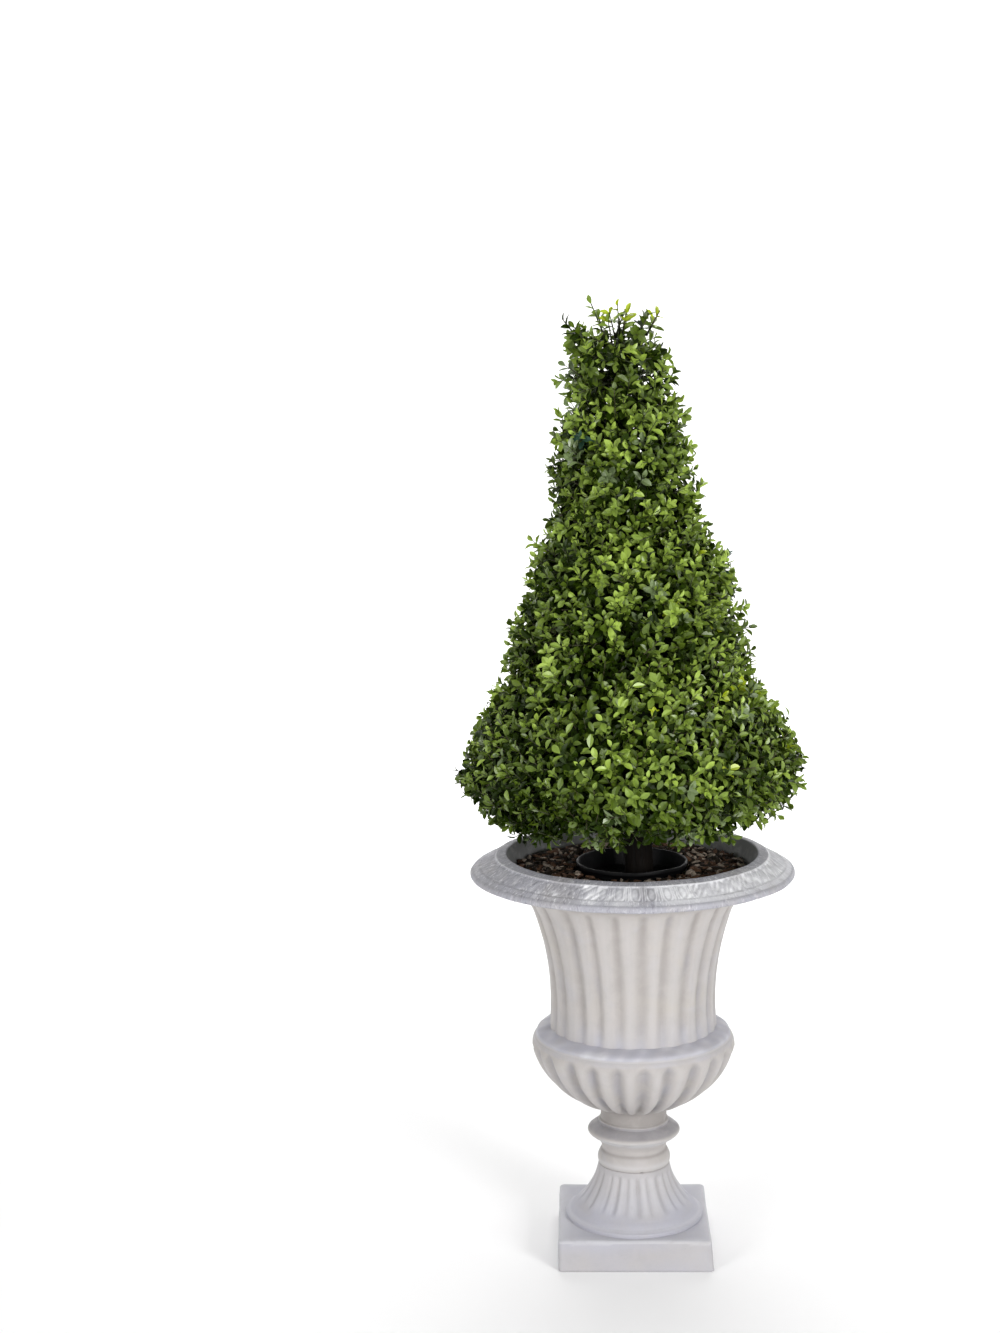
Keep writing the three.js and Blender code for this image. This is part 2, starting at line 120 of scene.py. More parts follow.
# Loose sprigs that stand past the clipped top: where each starts and ends, across, deep and high in
# the leaning plant's own frame, and its tone.
LOOSE_SPRIGS = (
    ((-0.008, -0.008, 1.286), (-0.030, -0.018, 1.346), "fresh"),
    ((0.010, 0.006, 1.292), (0.008, -0.024, 1.340), "lime"),
    ((0.004, 0.002, 1.290), (-0.004, -0.028, 1.328), "lime"),
    ((0.012, -0.002, 1.290), (0.021, -0.030, 1.330), "lime"),
    ((0.046, 0.008, 1.292), (0.067, -0.016, 1.328), "lime"),
    ((0.000, -0.014, 1.272), (-0.006, -0.022, 1.322), "fresh"),
    ((0.002, 0.010, 1.276), (0.014, 0.014, 1.328), "deep"),
    ((0.026, -0.012, 1.276), (0.052, -0.018, 1.326), "middle"),
    ((-0.042, -0.004, 1.286), (-0.070, -0.006, 1.324), "deep"),
    ((-0.030, -0.016, 1.280), (-0.056, -0.020, 1.314), "middle"),
    ((0.030, 0.012, 1.276), (0.046, 0.018, 1.324), "middle"),
    ((-0.010, 0.024, 1.276), (-0.018, 0.040, 1.330), "fresh"),
    ((0.002, 0.008, 1.288), (0.020, 0.006, 1.331), "deep"),
)

# The bark chips of each kind: name, share of all chips, and how its colour is made from the bark's, as
# a share of each part and what is added to it.
CHIPS = (
    ("dark", 0.46, (0.40, 0.40, 0.40), 0.0),
    ("red", 0.36, (1.8, 1.42, 1.35), 0.0),
    ("pale", 0.18, (3.8, 3.9, 3.9), 0.16),
)

# Lights: name, place, where it aims, width, and the setting for its power with the share it takes.
LAMPS = (
    ("key_light", (1.9, -2.9, 1.35), (0.0, 0.0, 0.7), 1.2, "key", 1.0),
    ("fill_light", (-2.3, -2.8, 1.10), (0.0, 0.0, 0.7), 1.4, "fill", 1.0),
    ("floor_light", (0.0, 2.8, 4.0), (0.0, 1.2, 0.0), 3.0, "backdrop", 1.0 / 6.0),
    ("backdrop_light_left", (-3.5, 3.0, 5.0), (-1.5, 9.5, 2.5), 3.0, "backdrop", 1.0),
    ("backdrop_light_right", (3.5, 3.0, 5.0), (1.5, 9.5, 2.5), 3.0, "backdrop", 1.0),
)
SWEEP = Sizes(half=14.0, back=8.0, bend=3.0, top=9.0)

# The camera: it stands square with the plinth but for the plinth's turn, and its angles are in radians.
CAMERA = Sizes(distance=3.0564, height=1.3018, lens=60.04, plinth_turn=0.021, yaw=-0.0593, pitch=0.1496,
               roll=-0.0157)


# Settings that a user would change

class TOPIARY_PG_urn(bpy.types.PropertyGroup):
    """Sizes and colours of the urn"""

    flute_depth: FloatProperty(
        name="Flute depth", description="How deep the flutes of the body are",
        default=0.0030, min=0.0, max=0.008, unit="LENGTH")
    lobe_depth: FloatProperty(
        name="Lobe depth", description="How deep the creases between the bowl's lobes are",
        default=0.0066, min=0.0, max=0.012, unit="LENGTH")
    motifs: IntProperty(
        name="Ornaments", description="How many eggs the rim's ornament has", default=60, min=12, max=96)
    relief: FloatProperty(
        name="Ornament relief", description="How far the rim's ornament stands out",
        default=0.0016, min=0.0, max=0.004, unit="LENGTH")
    stone: FloatVectorProperty(
        name="Stone", description="Colour of the ribs", subtype="COLOR", size=3,
        default=(0.432, 0.405, 0.388), min=0.0, max=1.0)
    # The groove colour is painted shade: the darkening deep in the flutes, in the creases and under the
    # bowl.
    groove: FloatVectorProperty(
        name="Groove", description="Colour deep in the flutes", subtype="COLOR", size=3,
        default=(0.285, 0.264, 0.250), min=0.0, max=1.0)
    wash: FloatVectorProperty(
        name="Wash", description="Colour of the brushed wash on ledges", subtype="COLOR", size=3,
        default=(0.415, 0.413, 0.462), min=0.0, max=1.0)
    # The worn edge colour serves both real wear and painted highlights on crests, edges and the rim's lit
    # right side.
    edge: FloatVectorProperty(
        name="Worn edge", description="Colour of rubbed edges", subtype="COLOR", size=3,
        default=(0.600, 0.600, 0.615), min=0.0, max=1.0)
    lining: FloatVectorProperty(
        name="Lining", description="Colour of the wall inside", subtype="COLOR", size=3,
        default=(0.175, 0.176, 0.174), min=0.0, max=1.0)


class TOPIARY_PG_filling(bpy.types.PropertyGroup):
    """Sizes and colours of the bark, the nursery pot and the pole"""

    chips: IntProperty(
        name="Chips", description="How many bark chips lie round the pot", default=1900, min=0)
    chip_length: FloatProperty(
        name="Chip length", description="Length of a middling chip", default=0.0180, min=0.004, max=0.05,
        unit="LENGTH")
    bark: FloatVectorProperty(
        name="Bark", description="Colour of most chips", subtype="COLOR", size=3,
        default=(0.068, 0.047, 0.029), min=0.0, max=1.0)
    plastic: FloatVectorProperty(
        name="Pot", description="Colour of the nursery pot", subtype="COLOR", size=3,
        default=(0.0035, 0.0035, 0.004), min=0.0, max=1.0)
    pole: FloatVectorProperty(
        name="Pole", description="Colour of the pole", subtype="COLOR", size=3,
        default=(0.0062, 0.0043, 0.0031), min=0.0, max=1.0)
    ridge: FloatProperty(
        name="Bark ridges", description="Depth of the furrows in the pole's bark", default=0.0014, min=0.0,
        max=0.004, unit="LENGTH")


class TOPIARY_PG_crown(bpy.types.PropertyGroup):
    """Sizes of the clipped crown"""

    spacing: FloatProperty(
        name="Sprig spacing", description="Distance between the tips of neighbouring sprigs",
        default=0.0166, min=0.008, max=0.1, unit="LENGTH")
    leaf_length: FloatProperty(
        name="Leaf length", description="Length of a full-grown leaf", default=0.0166, min=0.004, max=0.05,
        unit="LENGTH")
    leaf_width: FloatProperty(
        name="Leaf width", description="Width of a full-grown leaf", default=0.0088, min=0.002, max=0.04,
        unit="LENGTH")
    lumps: FloatProperty(
        name="Lumps", description="How uneven the clipped outline is", default=0.006, min=0.0, max=0.03,
        unit="LENGTH")
    seed: IntProperty(name="Seed", description="Changes how the sprigs fall", default=11, min=0)


class TOPIARY_PG_stage(bpy.types.PropertyGroup):
    """Floor and lights"""

    floor: FloatVectorProperty(
        name="Floor", description="Colour of the floor and backdrop", subtype="COLOR", size=3,
        default=(0.95, 0.95, 0.95), min=0.0, max=1.0)
    surround: FloatProperty(
        name="Surround", description="Strength of the light from all round", default=0.50, min=0.0)
    key: FloatProperty(name="Key light", description="Power of the key light", default=75.0, min=0.0,
                       unit="POWER")
    fill: FloatProperty(name="Fill light", description="Power of the fill light", default=46.0, min=0.0,
                        unit="POWER")
    backdrop: FloatProperty(name="Backdrop lights", description="Power of each light on the backdrop",
                            default=450.0, min=0.0, unit="POWER")


# Meshes from arrays

def smooth(share):
    """Rises softly from 0 to 1 while share does."""
    share = np.clip(share, 0.0, 1.0)
    return share * share * (3.0 - 2.0 * share)


def rise(value, start, length):
    """Rises softly from 0 at start to 1 at a length past it."""
    return smooth((value - start) / length)


def fall(value, end, length):
    """Falls softly from 1 at a length before end to 0 at end."""
    return smooth((end - value) / length)


def hump(value, middle, width):
    """1 at middle, and next to nothing from two widths off."""
    return np.exp(-((value - middle) / width) ** 2)


def largest(*values):
    """The largest of several arrays, place by place."""
    return reduce(np.maximum, values)


def waves(turn, *parts):
    """Unevenness round the urn, from each wave's height, count and start."""
    return sum(high * np.sin(count * turn + start) for high, count, start in parts)


def full_turn(steps):
    """Evenly spaced angles once round."""
    return 2.0 * math.pi * np.arange(steps) / steps


def unit(arrows):
    """Arrows of length 1 the same way as the given ones."""
    return arrows / np.linalg.norm(arrows, axis=-1)[..., None]


def shaded(colour, share, lift=0.0):
    """A colour with each part taken times a share, or times its own share, and lifted."""
    shares = np.broadcast_to(share, 3)
    return [float(part * one + lift) for part, one in zip(colour, shares)]


def ripple(places, size, seed, count=7):
    """Smooth, seeded unevenness between about -1 and 1, with bumps of about the given size."""
    chance = np.random.default_rng(seed)
    ways = unit(chance.normal(size=(count, 3))) * (math.pi / size) * chance.uniform(0.6, 1.6, (count, 1))
    starts = chance.uniform(0.0, 2.0 * math.pi, count)
    total = np.zeros(places.shape[:-1])
    for way, start in zip(ways, starts):
        total += np.sin(places @ way + start)
    return total / math.sqrt(count)


def new_mesh(name, points, *face_sets):
    """A smooth mesh from an array of points and arrays of faces. The faces of one array have one size."""
    corners = np.concatenate([faces.ravel() for faces in face_sets]).astype(np.int32)
    sizes = np.concatenate([np.full(len(faces), faces.shape[1]) for faces in face_sets])
    starts = (np.cumsum(sizes) - sizes).astype(np.int32)
    mesh = bpy.data.meshes.new(name)
    mesh.vertices.add(len(points))
    mesh.vertices.foreach_set("co", np.ascontiguousarray(points, dtype=np.float32).ravel())
    mesh.loops.add(len(corners))
    mesh.loops.foreach_set("vertex_index", corners)
    mesh.polygons.add(len(sizes))
    mesh.polygons.foreach_set("loop_start", starts)
    mesh.update(calc_edges=True)
    mesh.validate()
    mesh.shade_smooth()
    return mesh


def mark(mesh, name, values):
    """Stores a number, or a place, for each point of a mesh, for its material to read."""
    values = np.ascontiguousarray(values, dtype=np.float32)
    if values.ndim == 1:
        mesh.attributes.new(name, "FLOAT", "POINT").data.foreach_set("value", values)
    else:
        mesh.attributes.new(name, "FLOAT_VECTOR", "POINT").data.foreach_set("vector", values.ravel())


def put_in_scene(name, data):
    """A new object with a mesh, a light or a camera in it."""
    thing = bpy.data.objects.new(name, data)
    bpy.context.scene.collection.objects.link(thing)
    return thing


def add_piece(name, mesh, material, slot, *nodes):
    """Puts a mesh in the scene as a piece that rides on the frame and stands for the given nodes."""
    piece = put_in_scene(name, mesh)
    mesh.materials.append(material)
    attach(piece, BODY_NAME)
    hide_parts(*nodes)
    return piece


def refinish(node, material):
    """Gives a node of the frame that stays a better finish."""
    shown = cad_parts[node]
    if not shown.material_slots:
        shown.data.materials.append(material)
    for material_slot in shown.material_slots:
        material_slot.material = material


def walls_between(lower, upper):
    """The faces between rows of points that run round, from the points' numbers."""
    walls = [lower, np.roll(lower, -1, axis=1), np.roll(upper, -1, axis=1), upper]
    return np.stack(walls, axis=-1).reshape(-1, 4)


def many(faces, bodies, points):
    """The faces of one body for each of many like bodies, from its count of points."""
    return (faces + points * np.arange(bodies)[:, None, None]).reshape(-1, faces.shape[-1])


def skin(name, rings, closed=False):
    """A closed body through rings of points, given as an array of rows, columns and places.

    closed joins the last ring to the first, and otherwise a flat fan fills each end.
    """
    rows, columns = rings.shape[:2]
    grid = np.arange(rows * columns).reshape(rows, columns)
    lower = grid if closed else grid[:-1]
    upper = np.roll(grid, -1, axis=0) if closed else grid[1:]
    sides = walls_between(lower, upper)
    points = rings.reshape(-1, 3)
    if closed:
        return new_mesh(name, points, sides)
    points = np.concatenate([points, rings[:1].mean(axis=1), rings[-1:].mean(axis=1)])
    first, last = grid[0], grid[-1]
    low, high = rows * columns, rows * columns + 1
    under = np.stack([np.roll(first, -1), first, np.full(columns, low)], axis=-1)
    over = np.stack([last, np.roll(last, -1), np.full(columns, high)], axis=-1)
    return new_mesh(name, points, sides, np.concatenate([under, over]))


def facing(points):
    """The way an outline's surface faces at each of its points, from radii and heights."""
    steps = unit(np.gradient(points, axis=0))
    return np.stack([steps[:, 1], -steps[:, 0]], axis=1)


class Outline:
    """The outline of a turned shape, drawn in radius and height from the bottom up and over the top."""

    def __init__(self, radius, height):
        self.points = [(radius, height)]

    def line(self, radius, height, steps=1):
        return self.bend(*(0.5 * (a + b) for a, b in zip(self.points[-1], (radius, height))),
                         radius, height, steps)

    def bend(self, over_radius, over_height, radius, height, steps=8):
        """A curve to a point, pulled towards another point on the way."""
        start, over, end = np.array([self.points[-1], (over_radius, over_height), (radius, height)])
        for share in np.arange(1, steps + 1) / steps:
            place = (1 - share) ** 2 * start + 2 * share * (1 - share) * over + share**2 * end
            self.points.append(tuple(place))
        return self

    def sweep(self, first, second, radius, height, steps=24):
        """A curve to a point, pulled towards two other points on the way."""
        start, first, second, end = np.array([self.points[-1], first, second, (radius, height)])
        for share in np.arange(1, steps + 1) / steps:
            rest = 1 - share
            place = (rest**3 * start + 3 * rest**2 * share * first
                     + 3 * rest * share**2 * second + share**3 * end)
            self.points.append(tuple(place))
        return self

    def placed(self):
        """Radii and heights, and the way the surface faces at each point."""
        points = np.array(self.points)
        return points[:, 0], points[:, 1], facing(points)


def around(radius, height, turn, front=1.0):
    """Places round the urn's axis. Turn 0 is at the front of the urn where front is -1."""
    across, deep = radius * np.sin(turn), front * radius * np.cos(turn)
    return np.stack(np.broadcast_arrays(across, deep, height), axis=-1)


def mark_stone(mesh, groove, wash, edge, grain):
    """Stores what stone_finish reads for each point of a skin, with nothing on the middles of its ends."""
    shape = grain.shape[:-1]
    ends = len(mesh.vertices) - shape[0] * shape[1]
    for key, values in (("groove", groove), ("wash", wash), ("edge", edge)):
        mark(mesh, key, np.append(np.broadcast_to(values, shape).ravel(), np.zeros(ends)))
    mark(mesh, "grain", np.concatenate([grain.reshape(-1, 3), np.zeros((ends, 3))]))


def turned(name, outline, columns, relief, closed=False):
    """A body turned round the urn's axis.

    relief takes radius, height and turn from the front, and returns how far the surface stands out there,
    and how much of it is groove (painted shade), wash and worn edge (wear and painted highlight).
    """
    radius, height, ways = outline.placed()
    turn = full_turn(columns) - math.pi
    out, groove, wash, edge = relief(radius[:, None], height[:, None], turn[None, :])
    rings = around(radius[:, None] + out * ways[:, :1], height[:, None] + out * ways[:, 1:], turn, -1.0)
    rings += CAST_BUMP.height * ripple(rings, CAST_BUMP.size, 5)[..., None] * unit(rings)
    mesh = skin(name, rings, closed)
    length = np.cumsum(np.hypot(*np.diff(np.stack([radius, height]), axis=1, prepend=0.0)))
    mark_stone(mesh, groove, wash, edge, around(1.0, length[:, None], turn, -1.0))
    return mesh


def tubes(name, starts, ends, radii, sides=4, tip=0.45):
    """Thin tapering twigs as one mesh."""
    along = unit(ends - starts)
    side = unit(np.cross(along, (0.31, 0.17, 0.93)))
    deep = np.cross(along, side)
    turn = full_turn(sides)
    ring = np.cos(turn)[:, None] * side[:, None] + np.sin(turn)[:, None] * deep[:, None]
    low = starts[:, None] + radii[:, None, None] * ring
    high = ends[:, None] + tip * radii[:, None, None] * ring
    points = np.concatenate([low, high], axis=1)
    grid = np.arange(2 * sides).reshape(2, sides)
    walls, caps = walls_between(grid[:1], grid[1:]), np.stack([grid[0][::-1], grid[1]])
    return new_mesh(name, points.reshape(-1, 3),
                    *(many(faces, len(starts), 2 * sides) for faces in (walls, caps)))


# Finishes

class Finish:
    """A node material, with a short way to add and join its nodes."""

    def __init__(self, name, colour=(0.5, 0.5, 0.5), roughness=0.6, specular=0.5):
        self.material = bpy.data.materials.new(name)
        self.material.use_nodes = True
        self.tree = self.material.node_tree
        self.shader = self.tree.nodes["Principled BSDF"]
        self.shader.inputs["Base Color"].default_value = (*colour, 1.0)
        self.shader.inputs["Roughness"].default_value = roughness
        self.shader.inputs["Specular IOR Level"].default_value = specular
        self.material.diffuse_color = (*colour, 1.0)

    def add(self, kind, settings=None, **inputs):
        """A node with its settings, and its inputs as plain values or as sockets to link."""
        node = self.tree.nodes.new(kind)
        for key, value in (settings or {}).items():
            setattr(node, key, value)
        for key, value in inputs.items():
            self.feed(node.inputs[key.replace("_", " ")], value)
        return node

    def feed(self, socket, value):
        if isinstance(value, bpy.types.NodeSocket):
            self.tree.links.new(value, socket)
        else:
            socket.default_value = value

    def place(self):
        return self.add("ShaderNodeTexCoord").outputs["Object"]

    def marked(self, name, output="Fac"):
        return self.add("ShaderNodeAttribute", {"attribute_name": name}).outputs[output]

    def noise(self, scale, vector, detail=3.0, roughness=0.55, distortion=0.0):
        return self.add("ShaderNodeTexNoise", Vector=vector, Scale=scale, Detail=detail,
                        Roughness=roughness, Distortion=distortion).outputs["Fac"]

    def ramp(self, value, low, high, start=0.0, end=1.0):
        """Takes value from low..high to start..end, held at both ends."""
        node = self.add("ShaderNodeMapRange", {"clamp": True, "interpolation_type": "SMOOTHSTEP"},
                        Value=value)
        for key, number in (("From Min", low), ("From Max", high), ("To Min", start), ("To Max", end)):
            node.inputs[key].default_value = number
        return node.outputs["Result"]

    def maths(self, operation, first, second):
        node = self.add("ShaderNodeMath", {"operation": operation, "use_clamp": False})
        self.feed(node.inputs[0], first)
        self.feed(node.inputs[1], second)
        return node.outputs["Value"]

    def times(self, first, second):
        return self.maths("MULTIPLY", first, second)

    def stretched(self, vector, *scale):
        """Places taken times a scale along each axis."""
        node = self.add("ShaderNodeMapping", Vector=vector)
        node.inputs["Scale"].default_value = scale
        return node.outputs["Vector"]

    def mix(self, share, first, second):
        node = self.add("ShaderNodeMix", {"data_type": "RGBA"})
        self.feed(node.inputs["Factor"], share)
        for socket, value in ((node.inputs[6], first), (node.inputs[7], second)):
            self.feed(socket, value if isinstance(value, bpy.types.NodeSocket) else (*value, 1.0))
        return node.outputs[2]

    def bump(self, height, depth, strength=1.0):
        node = self.add("ShaderNodeBump", Height=height, Distance=depth, Strength=strength)
        self.tree.links.new(node.outputs["Normal"], self.shader.inputs["Normal"])

    def colour(self, socket):
        self.tree.links.new(socket, self.shader.inputs["Base Color"])

    def roughness(self, socket):
        self.tree.links.new(socket, self.shader.inputs["Roughness"])


def stone_finish(name, urn, brushed, tint=(1.0, 1.0, 1.0), rubbed_light=1.0):
    """Cast stone with a lavender wash on its ledges, painted shade in its grooves, rubbed edges that also
    carry painted highlights, and pits.

    brushed is how strongly short strokes run across the surface, from 0 to 1.
    """
    plain = shaded(urn.stone, tint)
    bright = [min(1.0, part) for part in shaded(urn.edge, rubbed_light)]
    finish = Finish(name, plain, 0.62, 0.35)
    place = finish.place()
    blotch = finish.noise(9.0, place, 4.0, 0.6, 0.6)
    mottle = finish.noise(42.0, place, 4.0, 0.62, 0.4)
    grit = finish.noise(520.0, place, 2.0)
    strokes = finish.noise(1.0, finish.stretched(finish.marked("grain", "Vector"), 66.0, 66.0, 120.0), 4.0,
                           0.62, 1.2)
    stone = finish.mix(finish.ramp(mottle, 0.35, 0.7), plain, shaded(plain, 0.92))
    stone = finish.mix(finish.ramp(blotch, 0.52, 0.70, 0.0, 0.8), stone, shaded(plain, (1.0, 0.990, 0.935)))
    # The groove mark darkens flutes, creases and rings towards the groove colour: painted shade.
    groove = finish.times(finish.marked("groove"), finish.ramp(mottle, 0.25, 0.65, 0.75, 1.0))
    wash = finish.times(finish.marked("wash"), finish.ramp(mottle, 0.30, 0.55, 0.72, 1.0))
    haze = finish.ramp(finish.noise(14.0, place, 3.0, 0.55, 1.2), 0.50, 0.72, 0.0, 0.30)
    stone = finish.mix(finish.maths("MAXIMUM", wash, haze), stone, urn.wash)
    hollow = finish.mix(wash, urn.groove, shaded(urn.wash, 0.55))
    stone = finish.mix(groove, stone, hollow)
    calm = finish.ramp(groove, 0.0, 0.5, 0.75 * brushed, 0.0)
    stone = finish.mix(finish.times(finish.ramp(strokes, 0.54, 0.66), calm), stone, bright)
    dark = finish.times(finish.ramp(strokes, 0.46, 0.34), 0.70 * brushed)
    stone = finish.mix(dark, stone, shaded(urn.wash, 0.52))
    # The edge mark lightens worn edges. It also paints highlights on rib crests, lobes, ring undersides, the
    # plinth's top edge, the rim's lip and the rim's lit right side.
    rubbed_and_lit = finish.times(finish.marked("edge"), finish.ramp(mottle, 0.30, 0.55, 0.45, 1.0))
    stone = finish.mix(rubbed_and_lit, stone, bright)
    pits = finish.times(finish.ramp(grit, 0.31, 0.24), finish.ramp(mottle, 0.45, 0.60))
    finish.colour(finish.mix(finish.times(pits, 0.5), stone, shaded(urn.stone, 0.45)))
    finish.roughness(finish.ramp(mottle, 0.3, 0.7, 0.50, 0.70))
    height = finish.maths("ADD", finish.times(grit, 0.35), mottle)
    finish.bump(finish.maths("ADD", height, finish.times(strokes, 1.2 * brushed)), 0.0007, 0.55)
    return finish.material


def lining_finish(urn):
    """The urn's inner wall: dark, matt, with a little dust."""
    finish = Finish("urn_lining", urn.lining, 0.8, 0.25)
    place = finish.place()
    dust = finish.ramp(finish.noise(60.0, place, 5.0, 0.7), 0.45, 0.75, 0.0, 0.5)
    finish.colour(finish.mix(dust, urn.lining, shaded(urn.lining, 2.0)))
    finish.bump(finish.noise(220.0, place, 3.0), 0.0004)
    return finish.material


def wood_finish(name, colour):
    """Shredded bark: fibres, darker cracks and dusty high spots."""
    finish = Finish(name, colour, 0.85, 0.12)
    place = finish.place()
    fibre = finish.noise(190.0, finish.stretched(place, 1.0, 1.0, 2.5), 4.0, 0.7, 0.5)
    patch = finish.noise(45.0, place, 3.0)
    bark = finish.mix(finish.ramp(fibre, 0.35, 0.62), shaded(colour, 0.38), colour)
    finish.colour(finish.mix(finish.ramp(patch, 0.52, 0.70, 0.0, 0.6), bark, shaded(colour, 1.0, 0.05)))
    finish.roughness(finish.ramp(patch, 0.3, 0.7, 0.72, 0.95))
    finish.bump(fibre, 0.0009)
    return finish.material


def pole_finish(filling):
    """Moulded bark, nearly black in its furrows."""
    finish = Finish("dark_pole", filling.pole, 0.78, 0.1)
    grain = finish.noise(260.0, finish.stretched(finish.place(), 1.0, 1.0, 0.12), 4.0, 0.7)
    bark = finish.mix(finish.ramp(grain, 0.35, 0.65), shaded(filling.pole, 0.55), filling.pole)
    finish.colour(finish.mix(finish.times(finish.marked("groove"), 0.85), bark, (0.004, 0.0035, 0.003)))
    finish.roughness(finish.ramp(grain, 0.3, 0.7, 0.60, 0.85))
    finish.bump(grain, 0.0005)
    return finish.material


def plastic_finish(filling):
    """Black pot plastic, dusty inside, with a grey line along its lip that is scuffs and, strongest at the
    left and right, a painted highlight.
    """
    finish = Finish("pot_plastic", filling.plastic, 0.55, 0.2)
    scuff = finish.noise(85.0, finish.place(), 5.0, 0.7)
    # This greys the lip by scuffs and, strongest at the left and right, by a painted highlight.
    lip_scuff_and_highlight = finish.times(finish.marked("edge"), finish.ramp(scuff, 0.35, 0.60, 0.25, 1.0))
    black = finish.mix(finish.ramp(scuff, 0.50, 0.80, 0.0, 0.4), filling.plastic, (0.016, 0.015, 0.014))
    finish.colour(finish.mix(lip_scuff_and_highlight, black, (0.17, 0.17, 0.165)))
    finish.roughness(finish.ramp(scuff, 0.35, 0.65, 0.42, 0.60))
    finish.bump(scuff, 0.0002, 0.5)
    return finish.material


def rough_finish(name, colour, grain, depth):
    """Set cement or loose filler: lumpy, with darker hollows."""
    finish = Finish(name, colour, 0.92, 0.2)
    lump = finish.noise(grain, finish.place(), 6.0, 0.7)
    finish.colour(finish.mix(finish.ramp(lump, 0.35, 0.65), shaded(colour, 0.5), colour))
    finish.bump(lump, depth)
    return finish.material


def leaf_finish(tone, colour, gloss):
    """Moulded leaf plastic in one plain tint."""
    return Finish("leaf_" + tone, colour, 0.36, gloss).material


def stem_finish():
    """Olive stem plastic, browner where it is older."""
    finish = Finish("stem_plastic", (0.045, 0.060, 0.020), 0.55, 0.4)
    shade = finish.ramp(finish.noise(9.0, finish.place(), 2.0), 0.4, 0.6)
    finish.colour(finish.mix(shade, (0.035, 0.050, 0.016), (0.060, 0.052, 0.024)))
    return finish.material


# The urn

def from_rib(turn, irregular=1.0):
    """How far a turn is from the middle of its rib: 0 on the rib, 1 in the groove. No two are alike."""
    wander = waves(turn, (0.011, 5.0, 1.0), (0.009, 9.0, 4.0), (0.007, 14.0, 2.0))
    flutes = (turn + TURNED_ASKEW + irregular * wander) * FLUTES / (2.0 * math.pi)
    return 2.0 * np.abs(flutes - np.round(flutes))


def width_of_groove(turn):
    """Some grooves were carved wider than others: between about -1 and 1."""
    return waves(turn, (0.6, 7.0, 0.5), (0.5, 11.0, 3.0))


def groove_depth(turn, start, end=1.0):
    """0 on the ribs and 1 in the middle of the grooves, which start part of the way from rib to groove."""
    return smooth((from_rib(turn) - start) / (end - start))


def rounded_square(half, corner, steps=9, straight=22):
    """The outline of a square with round corners, as x and y."""
    points = []
    for start in 0.5 * math.pi * np.arange(4):
        turn = start + np.linspace(0.0, 0.5 * math.pi, steps)
        middle = (half - corner) * np.sign([math.cos(turn[steps // 2]), math.sin(turn[steps // 2])])
        arc = middle + corner * np.stack([np.cos(turn), np.sin(turn)], axis=1)
        run = 2.0 * (half - corner) * np.arange(1, straight)[:, None] / straight
        points += [arc, arc[-1] + run * np.array([-math.sin(turn[-1]), math.cos(turn[-1])])]
    return np.concatenate(points)


def plinth_mesh():
    """The square plinth: tapered, with soft corners, a rounded top edge and hand-cast unevenness."""
    half = PLINTH.width / 2.0
    side_top = PLINTH.height - PLINTH.edge
    levels = [(0.0, PLINTH.foot)]
    levels += [(height, 0.0) for height in np.linspace(PLINTH.foot, side_top, 12)]
    for turn in np.linspace(0.0, 0.5 * math.pi, 8)[1:]:
        levels.append((side_top + PLINTH.edge * math.sin(turn), PLINTH.edge * (1.0 - math.cos(turn))))
    levels += [(PLINTH.height, PLINTH.edge + inward) for inward in np.linspace(0.006, half - 0.012, 14)]
    rings = []
    for height, inset in levels:
        size = half * (1.0 - PLINTH.taper * height / PLINTH.height) - inset
        outline = rounded_square(size, min(PLINTH.corner, 0.9 * size))
        rings.append(np.column_stack([outline, np.full(len(outline), height)]))
    rings = np.array(rings)
    sunk = smooth(rings[..., 2] / 0.006)
    rings[..., 0] -= PLINTH.skew * rings[..., 2] / PLINTH.height
    rings[..., :2] *= 1.0 + (0.004 * sunk * (ripple(rings, 0.05, 3) - 0.8))[..., None]
    rings[..., 2] += 0.00030 * sunk * ripple(rings, 0.03, 4)
    mesh = skin("urn_plinth", rings)
    height, inset = np.array(levels).T[..., None]
    wash = rise(height, side_top, PLINTH.edge) * np.where(inset > 0.002, 0.95, 0.6)
    stained = 0.38 + 0.25 * ripple(rings, 0.05, 6) + 0.40 * rise(rings[..., 2], side_top - 0.020, 0.020)
    # edge and border paint a highlight along the rounded top edge and towards the top's outer border; pale
    # adds random paler patches.
    edge = 0.35 * hump(height, side_top + 0.75 * PLINTH.edge, 0.40 * PLINTH.edge)
    border = rise(np.abs(rings[..., :2]).max(axis=-1) / half, 0.80, 0.16) * (rings[..., 2] > side_top)
    pale = smooth(0.5 + 0.6 * ripple(rings, 0.06, 7))
    edge = largest(edge * (inset < PLINTH.edge + 0.002), 0.45 * border, 0.15 * pale)
    mark_stone(mesh, 0.0, np.maximum(wash, np.clip(stained, 0.0, 0.9)), edge, 9.0 * rings)
    return mesh


